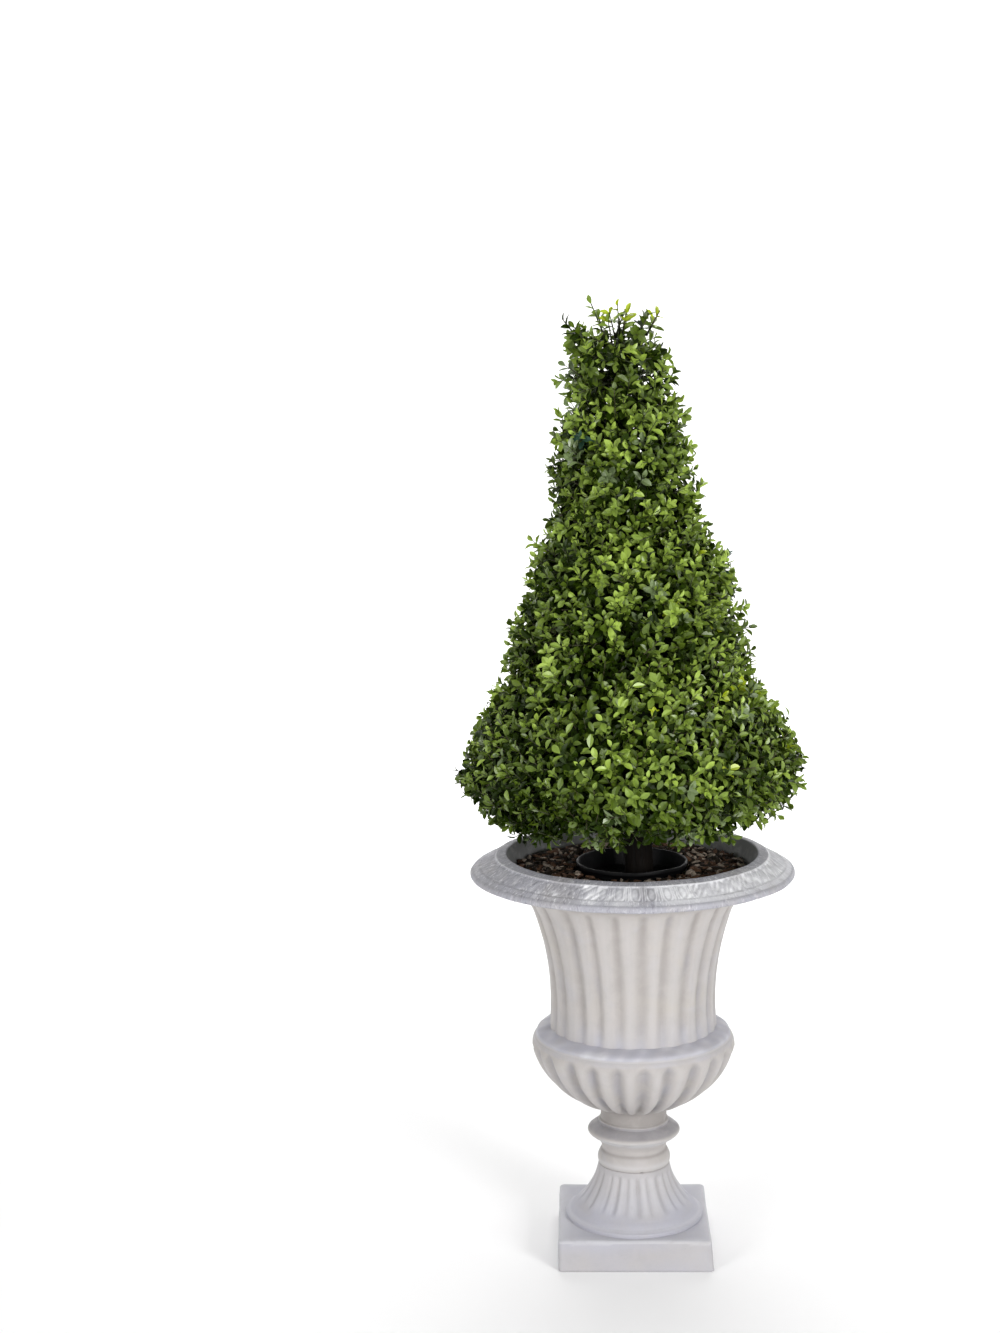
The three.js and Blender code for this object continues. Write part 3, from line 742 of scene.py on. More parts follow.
def foot_relief(radius, height, turn):
    """Narrow grooves between broad ribs with painted shade in them, painted highlights on the rib crests and
    the step's edge, and the wash that lies on the steps.
    """
    fade = rise(height, FOOT.start + 0.003, 0.010) * fall(height, JOINT.height - 0.0045, 0.007)
    place = from_rib(turn, 1.8)
    start = 0.44 + 0.10 * width_of_groove(turn)
    # groove is painted shade in the foot's grooves.
    groove = smooth((place - start) / (0.92 - start)) * fade * (0.78 + waves(turn, (0.30, 13.0, 1.0)))
    out = chip(radius, height, turn) - 0.0015 * groove - 0.0005 * place**2 * fade
    step = 0.95 * fall(height, FOOT.start + 0.010, 0.014)
    uneven = 0.80 + 0.30 * ripple(around(radius, height, turn), 0.025, 8)
    flare = 0.92 * fall(height, FOOT.start + 0.048, 0.046) * uneven
    seam = hump(height, FOOT.end + 0.0005, 0.0012)
    # edge is a painted highlight on the step's edge and the rib crests.
    edge = 0.25 * hump(height, BASE_RING.step_height - 0.0008, 0.0016) + 0.35 * fade * (1.0 - place)
    return out, np.maximum(0.26 * groove, 0.45 * seam), np.clip(np.maximum(step, flare), 0.08, 1.0), edge


def chip(radius, height, turn):
    """One small chip out of the joint between foot and vessel."""
    across = (turn - JOINT.chip_turn) * radius
    return -0.0010 * np.exp(-(across**2 + (height - JOINT.height) ** 2) / JOINT.chip**2 * 1.6)


def foot_mesh():
    ring, under = BASE_RING.radius, PLINTH.height - PLINTH.edge
    outline = Outline(0.02, under).line(ring, under, 4).line(ring, BASE_RING.edge - 0.001, 4)
    outline.bend(ring, BASE_RING.edge + 0.0012,
                 ring - BASE_RING.bevel, BASE_RING.edge + BASE_RING.bevel * 0.9, 5)
    outline.bend(BASE_RING.step + 0.0025, BASE_RING.edge + 0.0030,
                 BASE_RING.step, BASE_RING.step_height + 0.001, 8)
    outline.bend(BASE_RING.step - 0.0030, FOOT.start - 0.0030, FOOT.wide, FOOT.start, 8)
    outline.bend(FOOT.curve_radius, FOOT.curve_height, JOINT.radius, FOOT.end - 0.0008, 46)
    outline.bend(JOINT.radius, JOINT.height - 0.0006, JOINT.radius - JOINT.bevel, JOINT.height, 4)
    outline.line(0.01, JOINT.height, 3)
    return turned("urn_foot", outline, FLUTED_COLUMNS, foot_relief)


def bowl_relief(radius, height, turn):
    """Rounded lobes with soft creases, plain rings below them and the brushed shelf above, with painted
    shade in the creases and on the neck under the bowl, and painted highlights on the lobes, the shelf's
    bead and the rings' undersides.
    """
    depth = bpy.context.scene.topiary_urn.lobe_depth
    place = from_rib(turn)
    arched_top = BOWL.lip + 0.003 + 0.005 * place
    fade = fall(height, arched_top, 0.016) * rise(height, BOWL.start, 0.008)
    hollow = groove_depth(turn, 0.18 - 0.05 * width_of_groove(turn)) * fade
    low = np.clip((BOWL.widest - height) / (BOWL.widest - BOWL.start), 0.0, 1.0)
    out = 0.0010 * (1.0 - place) * fade - depth * (1.0 - 0.25 * low) * hollow + chip(radius, height, turn)
    places = around(radius, height, turn)
    brushed = ripple(places, 0.022, 9)
    # torus_top, crease and under are painted shade: on the torus top, in the collar crease and on the neck
    # under the bowl's overhang. With the creases' hollow they go into the groove mark.
    torus_top = rise(height, TORUS.middle + 0.0008, 0.0045) * fall(height, NECK.start, 0.003)
    crease = hump(height, NECK.collar - 0.001, 0.0024)
    under = fall(height, BOWL.start + 0.008, 0.014) * rise(height, NECK.start - 0.002, 0.003)
    rings = largest(0.80 * torus_top, 0.75 * crease, 1.15 * under) * (1.0 + 0.15 * ripple(places, 0.02, 13))
    seam = hump(height, JOINT.height, 0.0016)
    shelf = rise(height, SHELF.notch, 0.002)
    patchy = 0.30 * shelf * ripple(places, 0.014, 14)
    groove = largest((0.66 + 0.18 * low) * hollow, rings, 0.45 * seam, -0.45 * patchy)
    band = rise(height, BOWL.lip + 0.001, 0.004) * (0.28 + 0.10 * brushed)
    stain = (0.36 + 0.30 * brushed) * hollow
    wash = largest(0.55 * torus_top, stain, band, shelf * (0.95 + 0.10 * brushed))
    # lobes and lit_rings are painted highlights on the middles of the lobes, on the shelf's bead and on the
    # undersides of the torus and the lower ring.
    lobes = 0.22 * fade * (1.0 - place) ** 2 + 0.20 * hump(height, SHELF.bead_top, 0.003)
    lit_rings = np.maximum(0.90 * hump(height, TORUS.middle - 0.0065, 0.0050),
                           0.405 * hump(height, LOWER_RING.middle - 0.003, 0.0045))
    return out, groove, np.clip(wash, 0.06, 1.0), largest(lobes, patchy, lit_rings)


def bowl_mesh():
    outline = Outline(0.01, JOINT.height).line(JOINT.radius - JOINT.bevel, JOINT.height, 3)
    outline.bend(JOINT.radius, JOINT.height + 0.0004, JOINT.radius, JOINT.height + 0.0020, 4)
    outline.bend(LOWER_RING.bulge, LOWER_RING.middle, JOINT.radius - 0.001, LOWER_RING.end, 12)
    outline.bend(JOINT.radius - 0.003, LOWER_RING.end + 0.004, NECK.radius - 0.001, NECK.collar, 7)
    outline.line(NECK.radius - 0.001, NECK.cove, 2)
    outline.bend(NECK.cove_radius - 0.001, NECK.cove + 0.011, TORUS.lip, TORUS.middle - TORUS.half, 14)
    outline.bend(TORUS.radius + 0.0012, TORUS.middle, TORUS.lip, TORUS.middle + TORUS.half, 14)
    outline.bend(0.5 * (TORUS.lip + NECK.bead), NECK.bead_start - 0.002, NECK.bead, NECK.bead_start, 10)
    outline.bend(NECK.bead + 0.0014, 0.5 * (NECK.bead_start + NECK.start),
                 NECK.bead, NECK.start - 0.0010, 6)
    outline.line(NECK.radius, NECK.start, 3).line(NECK.radius, NECK.end, 5)
    outline.bend(NECK.radius, BOWL.start - JOINT.bevel, BOWL.foot, BOWL.start, 8)
    outline.bend(BOWL.curve_radius, BOWL.curve_height, BOWL.radius, BOWL.widest, 64)
    outline.line(BOWL.radius, BOWL.lip, 3)
    outline.bend(BOWL.radius - 0.0004, BOWL.lip + 0.0065, SHELF.bead, SHELF.bead_top, 12)
    outline.line(SHELF.radius, SHELF.edge, 4)
    outline.bend(SHELF.radius, SHELF.crown, BODY.foot, BODY.start, 14)
    outline.line(BODY.foot - 0.014, BODY.start + 0.003, 3).line(HOLLOW.wall - 0.001, SHELF.notch, 3)
    outline.bend(HOLLOW.wall, HOLLOW.floor + 0.018, HOLLOW.bottom, HOLLOW.floor, 8)
    outline.line(0.01, HOLLOW.floor, 2)
    return turned("urn_bowl", outline, FLUTED_COLUMNS, bowl_relief)


def body_relief(radius, height, turn):
    """Broad flat ribs with soft flutes that narrow towards the top, painted shade in the flutes and a
    painted highlight down the middle of each rib.
    """
    depth = bpy.context.scene.topiary_urn.flute_depth
    outside = rise(radius, HOLLOW.wall + 0.004, 0.003)
    down = np.clip((RIM.cove_height - height) / (RIM.cove_height - BODY.start), 0.0, 1.0)
    turn = turn + 0.005 * np.sin(7.0 * down + 3.0 * turn)
    fade = fall(height, RIM.cove_height + 0.001, 0.010)
    lip = 0.54 - 0.26 * smooth(down / 0.55) - 0.08 * width_of_groove(turn)
    hollow = groove_depth(turn, lip, 0.98) * fade
    place = from_rib(turn)
    carved = hollow * (0.35 + 0.65 * rise(height, BODY.start, 0.030))
    out = -(depth * (0.70 + 0.30 * down) * carved + 0.0007 * place**2 * fade) * outside
    places = around(radius, height, turn)
    foot = fall(height, BODY.start + 0.050, 0.052) * (0.42 + 0.45 * hollow)
    stain = 0.45 * rise(ripple(places, 0.055, 12), 0.5, 0.8) * hollow
    wash = np.maximum(foot, stain) * (0.82 + 0.22 * ripple(places, 0.025, 10))
    # The groove returned is painted shade in the flutes; the edge returned is a painted highlight down the
    # ribs' middles.
    return out, (0.76 - 0.40 * down) * carved, np.clip(wash, 0.04, 1.0), 0.20 * fade * (1.0 - place) ** 2


def body_mesh():
    bottom = BODY.start - 0.0035
    outline = Outline(BODY.foot - 0.012, bottom).line(BODY.foot + 0.0004, bottom, 3)
    outline.sweep((BODY.waist, 0.375), (BODY.flare, 0.430), BODY.top, BODY.end, 100)
    outline.bend(BODY.top + 0.0072, RIM.cove_height - 0.010, RIM.cove, RIM.cove_height, 10)
    outline.bend(RIM.cove + 0.004, RIM.cove_height + 0.0045,
                 RIM.cove + 0.010, RIM.cove_height + 0.0065, 4)
    outline.line(RIM.cove - 0.006, RIM.cove_height + 0.010, 2)
    outline.bend(HOLLOW.throat + 0.006, BODY.end, HOLLOW.throat - 0.006, 0.460, 6)
    outline.bend(HOLLOW.wall + 0.001, 0.400, HOLLOW.wall, HOLLOW.curve_end, 8)
    return turned("urn_body", outline, FLUTED_COLUMNS, body_relief, closed=True)


def ornament(repeats, down):
    """Eggs in U-shaped frames with a bar on each side, by the count of repeats and the way down the rim."""
    across = np.abs(repeats - np.round(repeats))
    egg_place = np.hypot(across / EGG.half, (down - EGG.middle) / EGG.high)
    egg = np.sqrt(np.clip(1.0 - egg_place**2, 0.0, 1.0))
    frame_place = np.where(down < EGG.middle, across / EGG.half, egg_place)
    return largest(0.45 * egg, 0.8 * hump(frame_place, EGG.frame, 0.20), hump(across, EGG.bar, 0.034))


def rim_relief(radius, height, turn):
    """The rim's ornament, which kept its shape near the front and is worn to slanting scuffs elsewhere,
    lighter towards its right side as painted light, with a painted highlight line at the lip and painted
    shade in the inner bevel.
    """
    urn = bpy.context.scene.topiary_urn
    upper = (height > RIM.height + 0.002) & (height < RIM.lip_height + 0.0005)
    down = np.clip((radius - RIM.lip - 0.001) / (RIM.border - RIM.lip - 0.001), 0.0, 1.0)
    band = upper * smooth(down / 0.08) * smooth((1.0 - down) / 0.08)
    sunk = upper * smooth(down / 0.03) * smooth((1.0 - down) / 0.03)
    motif = ornament(turn * urn.motifs / (2.0 * math.pi), down)
    places = around(radius, height, turn, -1.0)
    kept = 0.22 + 0.34 * ripple(places, 0.05, 21) + 0.80 * hump(turn, 0.16, 0.30)
    kept = np.clip(kept + 0.15 * ripple(places, 0.02, 22), 0.0, 1.0)
    kept = kept * (0.20 + 0.80 * hump(turn, 0.15, 0.75))
    slanting = around(RIM.lip, 0.05 * RIM.lip * down, turn + 0.075 * down, -1.0)
    scuffs = ripple(slanting, 0.0042, 23, 11) + 0.35 * ripple(places, 0.010, 26)
    # lit_side makes the scuffs and the upper band lighter towards the right: painted light.
    lit_side = 0.42 + 1.10 * np.sin(turn + 0.30)
    rubbed_and_lit = smooth((lit_side - 0.2 * scuffs + 0.3 * ripple(places, 0.030, 25)) / 1.1)
    rough = (1.0 - kept) * (0.35 + 0.65 * rubbed_and_lit)
    out = urn.relief * (band * (motif * kept + 0.45 * rough * scuffs) - 0.50 * sunk)
    rounding = rise(radius, RIM.radius - 0.0062, 0.003)
    groove = band * (0.98 - 1.7 * motif) * kept + 0.60 * sunk * smooth(scuffs) * rough + 0.34 * rounding
    # bevel darkens the inner bevel: painted shade.
    bevel = fall(radius, RIM.opening + 0.0016, 0.0016) * (height > RIM.lip_height)
    outside = (radius >= RIM.opening - 0.0004) | (height >= RIM.top - 0.0006)
    wash = np.clip(0.92 + 0.14 * ripple(places, 0.04, 24), 0.0, 1.0)
    wash = wash * outside * (1.0 - 0.9 * fall(height, RIM.height - RIM.under - 0.0006, 0.0015))
    # The hump at the lip is a painted highlight line; the right-side lightening in the next lines is painted
    # light.
    edge = 0.6 * hump(radius, RIM.lip, 0.0010) * (height > RIM.height) + 0.95 * band * motif * kept
    edge = edge + band * fall(scuffs, -0.1, 0.7) * (1.0 - kept) * (0.05 + 0.85 * rubbed_and_lit)
    edge = edge + 0.56 * rubbed_and_lit * upper * (1.0 - 0.9 * rounding)
    return (out, np.maximum(np.clip(groove, 0.0, 1.0), 0.5 * bevel), wash,
            np.clip(edge, 0.0, 1.0) * outside)


def rim_mesh():
    urn = bpy.context.scene.topiary_urn
    outer = RIM.radius - RIM.round
    floor = RIM.height - RIM.under
    outline = Outline(RIM.cove - 0.010, RIM.cove_height + 0.006)
    outline.line(RIM.cove + 0.003, RIM.cove_height + 0.0042, 2)
    outline.bend(RIM.cove + 0.008, RIM.cove_height + 0.0072, 0.172, 0.5335, 4)
    outline.line(outer + 0.0012, floor, 4)
    outline.bend(RIM.radius - 0.0004, floor + 0.0003, RIM.radius, RIM.height, 5)
    outline.bend(RIM.radius, RIM.height + 0.0052, outer, RIM.height + RIM.fall, 7)
    slope = (RIM.height + RIM.fall - RIM.lip_height) / (outer - RIM.lip)
    outline.line(RIM.border, RIM.lip_height + (RIM.border - RIM.lip) * slope, 3)
    outline.line(RIM.lip + 0.0012, RIM.lip_height - 0.0004, 20)
    outline.bend(RIM.lip, RIM.lip_height + 0.0005, RIM.lip - 0.0014, RIM.lip_height + 0.0006, 4)
    outline.line(RIM.opening + 0.0018, RIM.top - 0.0003, 3)
    outline.bend(RIM.opening, RIM.top, RIM.opening - 0.0003, RIM.top - 0.0016, 4)
    outline.line(HOLLOW.side, RIM.lip_height - 0.0045, 2)
    outline.bend(HOLLOW.bend, HOLLOW.bend_height, HOLLOW.shoulder, HOLLOW.shoulder_height, 4)
    return turned("urn_rim", outline, 24 * urn.motifs, rim_relief, closed=True)


def assign_lining(mesh, lining):
    """Gives the faces of the rim's inner wall the lining's finish."""
    mesh.materials.append(lining)
    centres = np.empty(3 * len(mesh.polygons))
    mesh.polygons.foreach_get("center", centres)
    centres = centres.reshape(-1, 3)
    radius = np.hypot(centres[:, 0], centres[:, 1])
    inside = (radius < RIM.opening - 0.0008) & (centres[:, 2] < RIM.top - 0.0022)
    mesh.polygons.foreach_set("material_index", inside.astype(np.int32))


# The plant's own frame leans round where the pole leaves the ballast.

def leaning(points):
    """Points of the upright plant as they stand in the row's frame."""
    height = points[..., 2]
    bowed = fall(height, CROWN.shoulder + 0.06, 0.10) - 1.1 * fall(height, CROWN.widest, 0.05)
    bowed = bowed + rise(height, 1.16, 0.12)
    across, high = points[..., 0] + CROWN.bowed * bowed, height - BALLAST_TOP
    return np.stack([POLE.x + across * math.cos(LEAN) - high * math.sin(LEAN), points[..., 1],
                     BALLAST_TOP + across * math.sin(LEAN) + high * math.cos(LEAN)], axis=-1)


def crown_radius(height):
    """The outline that the clipped leaves reach: a cone, a flared skirt and a rounded lower edge."""
    cone = np.interp(height, (CROWN.shoulder, CROWN.top), (CROWN.shoulder_radius, CROWN.top_radius))
    cone = cone - 0.007 * hump(height, 1.085, 0.085)
    skirt = np.interp(height, (CROWN.widest, CROWN.shoulder), (CROWN.radius, CROWN.shoulder_radius))
    below = np.clip((CROWN.widest - height) / CROWN.roundness, 0.0, 0.999)
    return np.where(height > CROWN.shoulder, cone,
                    np.where(height > CROWN.widest, skirt, CROWN.radius * np.sqrt(1.0 - below**2)))


def tips_radius(height):
    """How far out the sprigs' tips lie, so that their leaves reach the crown's outline."""
    higher = rise(height, 1.10, 0.08) * (1.0 - 0.35 * rise(height, 1.21, 0.09))
    return (crown_radius(height) - 0.003 - 0.012 * fall(height, CROWN.widest - 0.01, 0.05)
            + 0.011 * hump(height, 0.755, 0.045) + 0.006 * higher)


def crown_outline(spacing):
    """Radius, height and facing of evenly spaced rings, from under the crown up to its top."""
    edge = float(tips_radius(np.array(CROWN.underside)))
    sides = np.linspace(CROWN.underside, CROWN.dense_top - 0.014, 400)
    radii = np.concatenate([np.linspace(0.034, edge, 40)[:-1], tips_radius(sides), (0.034, 0.010)])
    top = (CROWN.dense_top - 0.004, CROWN.dense_top)
    heights = np.concatenate([np.full(39, CROWN.underside), sides, top])
    length = np.append(0.0, np.cumsum(np.hypot(np.diff(radii), np.diff(heights))))
    places = np.linspace(0.0, length[-1], int(length[-1] / (0.90 * spacing)))
    radius, height = np.interp(places, length, radii), np.interp(places, length, heights)
    return radius, height, facing(np.stack([radius, height], axis=1))


def looseness(height):
    """How far the clipped crown has given way to loose sprigs, from 0 to 1."""
    return float(rise(height, SPRIG.loose_from, SPRIG.loose_over))


class Sprigs:
    """Every sprig of the crown: its root and tip, the way it heads, and its tone."""

    def __init__(self, crown):
        self.chance = np.random.default_rng(crown.seed)
        rings = []
        for radius, height, face in zip(*crown_outline(crown.spacing)):
            thinned = 1.0 - 0.25 * looseness(height)
            count = max(1, round(2.0 * math.pi * radius * thinned / crown.spacing))
            root, tip, stray = self.ring(crown, radius, height, face, count)
            rings.append((root, tip, stray, self.ring_tones(tip, height)))
        names = [name for name, _, _, _ in TONES]
        for start, end, tone in LOOSE_SPRIGS:
            rings.append(([start], [end], [True], [names.index(tone)]))
        self.roots, self.tips, self.strays, self.tones = (np.concatenate(part) for part in zip(*rings))
        self.placed = np.arange(len(self.roots)) >= len(self.roots) - len(LOOSE_SPRIGS)
        self.lengths = np.linalg.norm(self.tips - self.roots, axis=1)
        self.headings = unit(self.tips - self.roots)

    def ring(self, crown, radius, height, face, count):
        """One ring of sprigs, evenly spaced and staggered by seeded chance, looser towards the top."""
        chance = self.chance
        loose = looseness(height)
        turn = (np.arange(count) + chance.uniform() + 0.7 * (chance.random(count) - 0.5)) / count
        out = around(1.0, 0.0, 2.0 * math.pi * turn, -1.0)
        level = height + 0.6 * crown.spacing * (chance.random(count) - 0.5) * abs(face[0])
        outward = out * face[0] + np.array([0.0, 0.0, face[1]])
        heading = outward + chance.normal(scale=SPRIG.wander * (1.0 + 0.5 * loose), size=(count, 3))
        heading[:, 2] += SPRIG.rise * (0.4 + face[0] * 0.6) * (face[1] > -0.9)
        surface = out * radius + np.array([0.0, 0.0, 1.0]) * level[:, None]
        stray = chance.random(count) < SPRIG.strays * (1.0 + 2.0 * loose)
        short = SPRIG.shortfall * (1.0 + 0.6 * loose) * chance.random(count) ** 1.2
        beyond = np.where(stray, SPRIG.stray_reach * chance.random(count), -short)
        beyond = beyond + crown.lumps * ripple(surface, 0.07, 31)
        tip = surface + outward * beyond[:, None]
        length = SPRIG.length * chance.uniform(0.80, 1.12, count)
        length = np.minimum(length, 0.85 * max(radius, 0.02) / np.maximum(0.25, abs(face[0])))
        root = tip - unit(heading) * length[:, None]
        root[:, :2] *= np.minimum(1.0, 0.8 * radius / np.linalg.norm(root[:, :2], axis=1))[:, None]
        return root, tip, stray

    def ring_tones(self, tips, height):
        """Tones by patches and chance, with painted shade low down and to the left and painted light to the
        right, and now and then an odd one.
        """
        shares = np.cumsum([share for _, share, _, _ in TONES])
        luck = np.abs(self.chance.random(len(tips)) + SPRIG.patches * ripple(tips, 0.055, 33))
        luck = np.where(luck > 1.0, 2.0 - luck, luck)
        side = np.clip(tips[:, 0] / 0.15, -0.8, 1.0)
        low = fall(height, CROWN.widest + 0.06, 0.10)
        # Darker tones low down and on the left are painted shade; lighter tones on the right are painted
        # light.
        light_and_shade = 0.04 + 0.62 * low - np.where(side < 0.0, 0.11, 0.22) * side
        luck = shares[DEEPEST] * (luck + light_and_shade * np.where(light_and_shade > 0.0, 1.0 - luck, luck))
        odd = self.chance.uniform(0.0, shares[-1], len(tips))
        return np.searchsorted(shares[:-1], np.where(odd > shares[DEEPEST], odd, luck))


# A leaf of unit size from its foot to its tip: a middle rib with three points across at each station.
LEAF_STATIONS = ((0.16, 0.24), (0.42, 0.46), (0.66, 0.48), (0.88, 0.26))
LEAF_ACROSS = np.array([0.0, *(side * half for _, half in LEAF_STATIONS for side in (-1, 0, 1)), 0.0])
LEAF_ALONG = np.array([0.0, *(along for along, _ in LEAF_STATIONS for _ in range(3)), 1.0])
LEAF_RIB = (0, 2, 5, 8, 11, 13)
LEAF_FACES = np.array([
    (0, 2, 1), (0, 3, 2),
    *(face for row in (1, 4, 7) for face in (
        (row, row + 1, row + 4), (row, row + 4, row + 3),
        (row + 1, row + 2, row + 5), (row + 1, row + 5, row + 4))),
    (10, 11, 13), (11, 12, 13)])


def leaf_points(feet, headings, facings, lengths, widths, curls):
    """The points of many leaves: blades folded along the middle that curl back towards the tip."""
    across = unit(np.cross(facings, headings))
    outward = np.cross(headings, across)
    fold = 0.50 * np.abs(LEAF_ACROSS) * widths[:, None]
    lift = fold - curls[:, None] * lengths[:, None] * LEAF_ALONG**2
    return (feet[:, None]
            + (LEAF_ACROSS * widths[:, None])[..., None] * across[:, None]
            + (LEAF_ALONG * lengths[:, None])[..., None] * headings[:, None]
            + lift[..., None] * outward[:, None])


def pairs_of_leaves(sprigs, crown):
    """Opposite leaves all the way down each sprig, each pair turned against the one before.

    Returns the leaves' points and tones, without those that would leave the crown's space, and which
    sprigs keep enough leaves to be shown.
    """
    chance = sprigs.chance
    count = len(sprigs.roots)
    kept = np.zeros(count)
    side = unit(np.cross(sprigs.headings, (0.13, 0.21, 0.97)))
    deep = np.cross(sprigs.headings, side)
    turn = chance.uniform(0.0, 2.0 * math.pi, count)
    step = SPRIG.pair_step * np.where(sprigs.strays, 0.78, 1.0)
    upright = np.where(sprigs.placed, 0.92, np.where(sprigs.strays, 0.84, 1.0))
    grown = crown.leaf_length * np.where(sprigs.placed & (sprigs.tones == 0), 1.2, 1.0)
    points, tones = [], []
    for number, (spread, size, darker) in enumerate(PAIRS):
        down = SPRIG.first_pair + step * number * chance.uniform(0.85, 1.1, count)
        foot = sprigs.tips - sprigs.headings * (down + 0.35 * crown.leaf_length)[:, None]
        for half in (0.0, math.pi):
            lean = math.radians(spread) * upright + chance.normal(scale=0.16, size=count)
            way = turn + half + chance.normal(scale=0.14, size=count)
            out = np.cos(way)[:, None] * side + np.sin(way)[:, None] * deep
            heading = np.cos(lean)[:, None] * sprigs.headings + np.sin(lean)[:, None] * out
            face = np.sin(lean)[:, None] * sprigs.headings - np.cos(lean)[:, None] * out
            face = face + chance.normal(scale=0.22, size=(count, 3))
            lengths = size * grown * chance.uniform(0.80, 1.14, count)
            widths = lengths * crown.leaf_width / crown.leaf_length * chance.uniform(0.85, 1.12, count)
            leaves = leaf_points(foot, heading, face, lengths, widths, chance.uniform(-0.06, 0.26, count))
            keep = stays_inside(leaves[:, -1], sprigs.strays) & (down + 0.01 < sprigs.lengths)
            kept += keep * (number < 3)
            points.append(leaves[keep])
            luck = chance.random(count) + 0.35 * sprigs.strays
            # Leaves lower on each sprig get darker tones: painted shade.
            tones.append(shaded_inward(sprigs.tones, darker, luck)[keep])
        turn = turn + 0.5 * math.pi + chance.normal(scale=0.22, size=count)
    return np.concatenate(points), np.concatenate(tones), (kept > 4) | sprigs.placed


def shaded_inward(tones, darker, luck):
    """Leaves further down a sprig, deeper in the crown, are up to three tones darker as painted shade, by
    the shares given for their pair.
    """
    steps = sum((luck < share).astype(int) for share in darker)
    return np.where(tones <= DEEPEST, np.minimum(tones + steps, DEEPEST), tones)


def stays_inside(tips, strays):
    """True for leaves whose tips keep to the crown's space and clear of the pole."""
    height = tips[:, 2]
    radius = np.hypot(tips[:, 0], tips[:, 1])
    spare = np.where(strays, 0.008, 0.003) + 0.012 * rise(height, CROWN.shoulder, 0.3)
    inside = radius < crown_radius(np.minimum(height, CROWN.top)) + spare
    low = CROWN.underside - np.where(strays, 0.012, 0.007)
    high = np.where(strays, CROWN.top + 0.023, CROWN.dense_top + 0.012)
    return (radius > 0.026) & (height > low) & (height < high) & inside


def heart_mesh():
    """The dark, packed middle of the crown: a near-black lumpy shell that is painted shade and shows only as
    depth between the leaves.
    """
    heights = np.linspace(HEART.bottom, HEART.top, 70)[:, None]
    radii = crown_radius(heights) - HEART.inset
    radii *= 0.75 + 0.25 * np.sqrt(fall(heights, HEART.top + 0.01, 0.10))
    rings = around(radii, heights, full_turn(120), -1.0)
    lump = HEART.lump * (ripple(rings, 0.030, 41) + ripple(rings, 0.012, 42))
    rings[..., :2] *= (1.0 + lump / radii)[..., None]
    return skin("crown_heart", leaning(rings))


# Operators, one for each piece or group of like pieces

class TOPIARY_OT_pedestal(bpy.types.Operator):
    """Casts the lower piece of the urn: a square plinth, a stepped ring and a fluted foot"""

    bl_idname = "topiary.pedestal"
    bl_label = "Urn pedestal"

    def execute(self, context):
        urn = context.scene.topiary_urn
        stone = stone_finish("cast_stone_pedestal", urn, 0.10, (0.985, 1.01, 1.07))
        add_piece("urn_plinth", plinth_mesh(), stone, "cast_stone", "urn_pedestal")
        add_piece("urn_foot", foot_mesh(), stone, "cast_stone", "urn_pedestal")
        return {"FINISHED"}


class TOPIARY_OT_vessel(bpy.types.Operator):
    """Casts the upper piece of the urn: neck and lobed bowl, fluted body, and rim with its ornament"""

    bl_idname = "topiary.vessel"
    bl_label = "Urn vessel"

    def execute(self, context):
        urn = context.scene.topiary_urn
        stone = stone_finish("cast_stone_vessel", urn, 0.06)
        add_piece("urn_bowl", bowl_mesh(), stone, "cast_stone", "urn_vessel")
        add_piece("urn_body", body_mesh(), stone, "cast_stone", "urn_vessel")
        rim = rim_mesh()
        # rubbed_light brightens the rim's pale strokes and worn edges, and with them its painted light and
        # highlights.
        brushed = stone_finish("cast_stone_rim", urn, 1.0, rubbed_light=1.40)
        add_piece("urn_rim", rim, brushed, "cast_stone", "urn_vessel")
        assign_lining(rim, lining_finish(urn))
        return {"FINISHED"}


